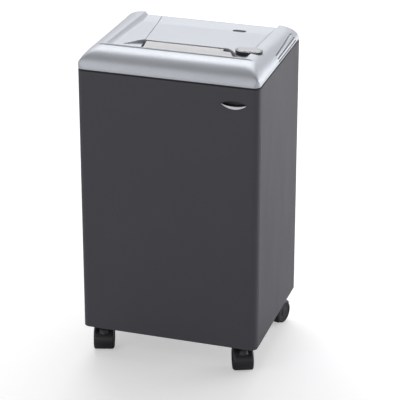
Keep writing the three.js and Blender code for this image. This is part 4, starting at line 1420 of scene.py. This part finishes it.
@dataclass
class Cutter:
    """One cutting cylinder: bands of hooked discs turned on a shaft."""

    node: str
    body: str
    first_band: float
    shaft: float = mm(7.8)
    root: float = mm(10.5)
    tip: float = mm(17.4)
    hook: float = mm(2.3)
    teeth: int = 9
    samples: int = 12
    bands: int = 10
    band_pitch: float = mm(24)
    band_width: float = mm(11.1)
    discs: int = 3
    groove: float = mm(0.7)
    core_half: float = mm(124.3)

    def ring(self, centre: Vector, along: float, radius: float, phase: float) -> list[Vector]:
        """Points round the shaft, on a circle or, outside the root, on a hooked outline.

        Args:
            centre: A point on the shaft's axis.
            along: The ring's place along the axis.
            radius: The ring's radius at the tips.
            phase: How far the hooks are turned, as a share of a tooth.

        Returns:
            The ring's points.
        """
        points = []
        for i in range(self.teeth * self.samples):
            share = (i / self.samples + phase) % 1.0
            reach = radius - (self.hook * share**0.7 if radius > self.root else 0.0)
            turn = 2 * math.pi * i / (self.teeth * self.samples)
            offset = Axis.X.place(reach * math.cos(turn), reach * math.sin(turn), along)
            points.append(Vector((0, centre.y, centre.z)) + offset)
        return points

    def build(self, shop: Shop) -> None:
        """Makes the cylinder in one piece."""
        span = Span.of(self.node)
        centre = span.centre
        steps = [(span.low.x, self.shaft, 0.0), (-self.core_half, self.shaft, 0.0)]
        steps.append((-self.core_half, self.root, 0.0))
        width = (self.band_width - (self.discs - 1) * self.groove) / self.discs
        for band in range(self.bands):
            for disc in range(self.discs):
                low = self.first_band + band * self.band_pitch + disc * (width + self.groove)
                phase = (band + disc) / 4 % 1.0
                steps += [(low, self.root, 0.0), (low, self.tip, phase)]
                steps += [(low + width, self.tip, phase), (low + width, self.root, 0.0)]
        steps += [(self.core_half, self.root, 0.0), (self.core_half, self.shaft, 0.0)]
        steps.append((span.high.x, self.shaft, 0.0))
        draft = Draft()
        rings = [draft.ring(self.ring(centre, *step)) for step in steps]
        draft.sweep(rings)
        piece = draft.build(f"hooked_{self.node}")
        crisp(piece, 30.0)
        shop.fit(piece, "dark_steel", self.body, self.node)


@dataclass
class CuttingHead:
    """Two interleaved cutters between their side plates, with the stripper combs."""

    bevel: float = mm(0.25)
    cutters: tuple[Cutter, ...] = (
        Cutter("cutter_front", "front_cutter", mm(-119.5)),
        Cutter("cutter_rear", "rear_cutter", mm(-107.5)),
    )
    plates: tuple[str, ...] = ("side_plate_left", "side_plate_right")
    bars: tuple[str, ...] = ("stripper_front", "stripper_rear", "tie_rod_front", "tie_rod_rear")
    bushes: tuple[str, ...] = (
        "bush_front_left", "bush_front_right", "bush_rear_left", "bush_rear_right"
    )

    def build(self, shop: Shop) -> None:
        """Makes the cutters and dresses the plates, the bars and the bushes."""
        for cutter in self.cutters:
            cutter.build(shop)
        shop.carry("plated_steel", self.bevel, *self.plates, *self.bars)
        shop.carry("bronze_bush", mm(0.2), *self.bushes)


@dataclass
class Drive:
    """The motor and the gears that turn the cutters."""

    bevel: float = mm(0.2)
    shoulder: float = mm(5)
    bell: float = mm(8)
    rib_depth: float = mm(1.2)
    rib_slope: float = mm(0.6)
    ribs: int = 11
    gears: tuple[str, ...] = (
        "sync_gear_front", "sync_gear_rear", "drive_gear", "idler_gear", "motor_pinion"
    )

    def build(self, shop: Shop) -> None:
        """Makes the motor and dresses the gears."""
        shop.carry("gear_steel", self.bevel, *self.gears)
        self.build_motor(shop)

    def build_motor(self, shop: Shop) -> None:
        """Makes the motor: a ribbed casing between two end bells."""
        span = Span.of("motor")
        low, high, radius = span.low.x, span.high.x, span.half.z
        inner = radius - self.shoulder
        profile = [(0, low + mm(2)), (mm(9), low + mm(2)), (mm(10), low), (inner, low)]
        profile += [(inner + mm(1), low + mm(1)), (inner + mm(1), low + self.bell)]
        profile += [(radius, low + self.bell)]
        start, end = low + self.bell + mm(5), high - self.bell - mm(5)
        pitch, deep = (end - start) / self.ribs, radius - self.rib_depth
        for i in range(self.ribs):
            foot = start + i * pitch
            middle = foot + pitch / 2
            profile += [(radius, foot), (deep, foot + self.rib_slope)]
            profile += [(deep, middle), (radius, middle + self.rib_slope)]
        profile += [(radius, high - self.bell), (inner + mm(1), high - self.bell)]
        profile += [(inner + mm(1), high - mm(1)), (inner, high), (mm(7), high)]
        profile += [(mm(7), high - mm(6)), (0, high - mm(6))]
        motor = turned("ribbed_motor", profile, (0, span.centre.y, span.centre.z), Axis.X, 72)
        crisp(motor, 30.0)
        shop.fit(motor, "dark_steel", "cabinet", "motor")


@dataclass
class MainsInlet:
    """The socket for the mains lead in the back board."""

    bevel: float = mm(0.4)

    def build(self, shop: Shop) -> None:
        """Dresses the inlet."""
        shop.carry("black_moulding", self.bevel, "mains_inlet")


# ---- Casters ----


class Corner(Enum):
    """The cabinet's corners, named as the frame names them."""

    FRONT_LEFT = "front_left"
    FRONT_RIGHT = "front_right"
    REAR_LEFT = "rear_left"
    REAR_RIGHT = "rear_right"


@dataclass
class Caster:
    """A twin-wheel caster: a fender over two wheels, under a turning stem."""

    corner: Corner
    wheel_radius: float = mm(25)
    wheel_inner: float = mm(8.5)
    wheel_outer: float = mm(22.5)
    trail: float = mm(16)
    cover_gap: float = mm(1.4)
    cover_thick: float = mm(2.3)
    cover_from: float = 40.0
    cover_to: float = 221.0
    sweep_steps: int = 64
    round_out: float = mm(5)
    round_in: float = mm(3.2)
    boss_radius: float = mm(9)
    neck: tuple[Point, ...] = ((mm(2.6), mm(10.4)), (mm(1.2), mm(6.5)), (0, mm(4)), (0, 0))
    bore: float = mm(5.3)
    bore_depth: float = mm(11.5)
    axle: float = mm(3)
    wheel_face: tuple[Point, ...] = (
        (mm(20.6), mm(0.2)), (mm(19.8), mm(1.6)), (mm(10), mm(1.9)), (mm(9), mm(0.7)),
        (mm(7.6), mm(0.3)), (mm(6.8), mm(0.9)), (0, mm(0.8)),
    )
    shoulder: float = mm(2.6)
    grooves: tuple[float, ...] = (mm(4.2), mm(6.4))
    groove_depth: float = mm(0.5)

    @property
    def place(self) -> Matrix:
        """Where the caster stands, turned as its wheels trail."""
        name = self.corner.value
        spot = joint_place(f"swivel_{name}")
        roll = next(j for j in frame["joints"] if j["name"] == f"roll_{name}_left")
        angle = math.atan2(roll["axis"][1], roll["axis"][0])
        if abs(angle) > math.pi / 2:
            angle -= math.copysign(math.pi, angle)
        return Matrix.Translation((spot.x, spot.y, 0)) @ Matrix.Rotation(angle, 4, "Z")

    @property
    def hub(self) -> Point:
        """The axle's place behind the stem and over the floor."""
        return (self.trail, self.wheel_radius)

    def fender(self) -> Piece:
        """The curved cover with rounded shoulders, swept round the axle."""
        inner = self.wheel_radius + self.cover_gap
        outer = inner + self.cover_thick
        half = self.wheel_outer
        out, within = self.round_out, self.round_in
        section = arc((half - out, outer - out), out, 90, 8, 10)
        section += arc((half - self.cover_thick - within, inner - within), within, 0, 90, 8)
        section = section + [(-x, r) for x, r in reversed(section)]
        draft = Draft()
        rings = []
        axle = Vector((0, *self.hub))
        for i in range(self.sweep_steps + 1):
            turn = math.radians(lerp(self.cover_from, self.cover_to, i / self.sweep_steps))
            away = Vector((0, math.cos(turn), math.sin(turn)))
            rings.append(draft.ring(axle + away * r + Vector((x, 0, 0)) for x, r in section))
        draft.sweep(rings)
        return draft.build("step")

    def cover(self) -> Piece:
        """The fender with its middle web, axle stub and boss, in one piece."""
        hub, inner = self.hub, self.wheel_radius + self.cover_gap
        web_plan = arc(hub, inner + mm(0.3), self.cover_from, self.cover_to, 48)
        web_plan += [(hub[0] - mm(9), hub[1] - mm(14)), (hub[0] + mm(6), hub[1] - mm(9))]
        web_half = self.wheel_inner - mm(0.4)
        outer = inner + self.cover_thick
        top = hub[1] + math.sqrt(outer**2 - hub[0] ** 2) + mm(7)
        piece = self.fender()
        web = step(web_plan, -web_half, web_half, Axis.X)
        stub = self.wheel_outer - mm(2)
        axle = turned("step", rod(self.axle, -stub, stub), (0, *hub), Axis.X, 24)
        neck = [(self.boss_radius + out, top - down) for out, down in self.neck]
        boss = turned("step", [(0, neck[0][1]), *neck, (0, top)], (0, 0, 0), Axis.Z, 40)
        shaped(piece, Join.ADD, web, axle, boss)
        bore = rod(self.bore, top - self.bore_depth, top + PAST)
        shaped(piece, Join.CUT, turned("step", bore, (0, 0, 0), Axis.Z, 32))
        return piece

    def wheel_profile(self, sign: int) -> list[Point]:
        """A wheel's profile: a grooved tread, a dished side and a capped hub."""
        rim, low, high = self.wheel_radius, self.wheel_inner, self.wheel_outer
        profile = [(0, high - mm(1.8)), (mm(3.4), high - mm(1.8)), (mm(3.4), low)]
        profile += [(rim - mm(1.5), low), (rim - mm(0.4), low + mm(0.5)), (rim, low + mm(2))]
        deep = rim - self.groove_depth
        for groove in self.grooves:
            start = low + groove
            profile += [(rim, start), (deep, start + mm(0.2))]
            profile += [(deep, start + mm(0.6)), (rim, start + mm(0.8))]
        profile += [(rim, high - mm(3.5))]
        profile += arc((rim - self.shoulder, high - self.shoulder), self.shoulder, 5, 90, 6)
        profile += [(radius, high - dip) for radius, dip in self.wheel_face]
        return [(radius, sign * along) for radius, along in profile]

    def build(self, shop: Shop) -> None:
        """Makes the cover and both wheels, and dresses the stem."""
        name, place = self.corner.value, self.place
        cover = self.cover()
        cover.name = cover.data.name = f"caster_cover_{name}"
        cover.data.transform(place)
        cleaned(cover)
        eased(cover, mm(0.35), 2, 35.0, 35.0)
        shop.fit(cover, "black_moulding", f"caster_{name}", f"caster_hood_{name}")
        for side, sign in (("left", -1), ("right", 1)):
            title = f"twin_wheel_{name}_{side}"
            wheel = turned(title, self.wheel_profile(sign), (0, *self.hub), Axis.X, 72, place)
            crisp(wheel, 35.0)
            shop.fit(wheel, "wheel_tread", f"wheel_{name}_{side}", f"wheel_{name}_{side}")
        shop.carry("dark_steel", mm(0.3), f"caster_stem_{name}")


# ---- Studio ----


@dataclass(frozen=True)
class SoftBox:
    """An area light that looks at a point."""

    name: str
    place: Place
    size: Point
    power: float
    colour: Colour = (1.0, 1.0, 1.0)
    target: Place = (0.0, 0.0, 0.45)

    def build(self) -> Piece:
        """Makes the light."""
        lamp = bpy.data.lights.new(self.name, "AREA")
        lamp.shape = "RECTANGLE"
        lamp.size, lamp.size_y = self.size
        lamp.energy = self.power
        lamp.color = self.colour
        light = bpy.data.objects.new(self.name, lamp)
        light.location = self.place
        aim = Vector(self.target) - Vector(self.place)
        light.rotation_euler = aim.to_track_quat("-Z", "Y").to_euler()
        bpy.context.scene.collection.objects.link(light)
        return light


@dataclass(frozen=True)
class PaleFloor(Finish):
    """A floor that stays pale where the lights fall off."""

    lift: float = 0.42

    def refine(self, shader: bpy.types.Node) -> None:
        """Adds a little light of its own where the camera sees it."""
        wire = Wiring(shader.id_data)
        seen = wire.add("LightPath").outputs["Is Camera Ray"]
        shader.inputs["Emission Color"].default_value = (1.0, 1.0, 1.0, 1.0)
        wire.feed(shader.inputs["Emission Strength"], wire.math("MULTIPLY", seen, self.lift))


@dataclass
class Studio:
    """A pale floor, soft lights and the camera."""

    floor_reach: float = 9.0
    camera_place: Place = (1.2102, -3.7958, 2.1525)
    camera_pitch: float = 0.42827
    camera_yaw: float = -0.30324
    camera_lens: float = 180.0
    horizon_level: float = 0.95
    front_sky_level: float = 0.12
    rear_level: float = 0.74
    rear_turn: Point = (-0.25, 0.35)
    sky_band: Point = (0.08, 0.5)
    sky_colour: Colour = (0.98, 0.985, 1.0)
    floor: PaleFloor = PaleFloor(
        "studio floor", "", (0.86, 0.86, 0.865), roughness=0.7, grain_scale=60.0,
        grain_depth=mm(0.05), tone_spread=0.01, mottle=0.01, wear=0.0, dust=0.0,
    )
    lights: tuple[SoftBox, ...] = (
        SoftBox("right soft box", (2.7, 2.2, 0.6), (1.8, 1.1), 36.0),
        SoftBox("overhead soft box", (-0.6, 2.1, 2.9), (2.4, 1.8), 42.0),
        SoftBox("front fill", (-0.9, -2.0, 2.0), (0.8, 0.8), 6.0, target=(0.0, 0.0, 0.6)),
        SoftBox("front strip", (-1.1, -3.4, 1.0), (2.4, 0.35), 8.0, target=(0.0, 0.0, 0.68)),
    )

    def build(self, shop: Shop) -> None:
        """Makes everything that isn't the shredder."""
        reach = self.floor_reach
        floor = box("floor", (-reach, -reach, mm(-20)), (reach, reach, mm(-0.05)))
        floor.data.materials.append(self.floor.build(shop.effects))
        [light.build() for light in self.lights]
        self.build_world()
        self.build_camera()
        bpy.context.scene.view_settings.view_transform = "Standard"

    def build_world(self) -> None:
        """A pale surround, darker over the front so that the glossy curves are modelled."""
        world = bpy.data.worlds.new("surround")
        world.use_nodes = True
        bpy.context.scene.world = world
        wire = Wiring(world.node_tree)
        direction = wire.add("TexCoord").outputs["Generated"]
        height = wire.add("SeparateXYZ", {0: direction}).outputs["Z"]
        depth = wire.add("SeparateXYZ", {0: direction}).outputs["Y"]
        rear = wire.ranged(depth, *self.rear_turn, 0.0, 1.0)
        front_sky = wire.ranged(height, *self.sky_band, self.horizon_level, self.front_sky_level)
        sky = wire.add("Mix", data_type="FLOAT")
        for index, value in ((0, rear), (2, front_sky), (3, self.rear_level)):
            wire.feed(sky.inputs[index], value)
        ground = world.node_tree.nodes["Background"]
        ground.inputs["Color"].default_value = (*self.sky_colour, 1.0)
        wire.feed(ground.inputs["Strength"], sky.outputs[0])

    def build_camera(self) -> None:
        """Sets the camera and makes it the scene's own."""
        lens = bpy.data.cameras.new("camera")
        lens.lens = self.camera_lens
        lens.sensor_width = 36.0
        lens.clip_end = 50.0
        camera = bpy.data.objects.new("camera", lens)
        camera.location = self.camera_place
        camera.rotation_euler = (math.pi / 2 - self.camera_pitch, 0.0, -self.camera_yaw)
        bpy.context.scene.collection.objects.link(camera)
        bpy.context.scene.camera = camera


# ---- Main ----


def main() -> None:
    """Builds the shredder and its studio."""
    logging.basicConfig(level=logging.INFO, format="%(name)s: %(message)s")
    shop = Shop()
    assemblies = [
        Cabinet(),
        Door(),
        ShredBin(),
        Hood(),
        RockerSwitch(),
        FeedHead(),
        CuttingHead(),
        Drive(),
        MainsInlet(),
        *(Caster(corner) for corner in Corner),
    ]
    for assembly in [*assemblies, Studio()]:
        assembly.build(shop)
    LOG.info("%d new pieces placed", shop.placed)


if __name__ == "__main__":
    main()
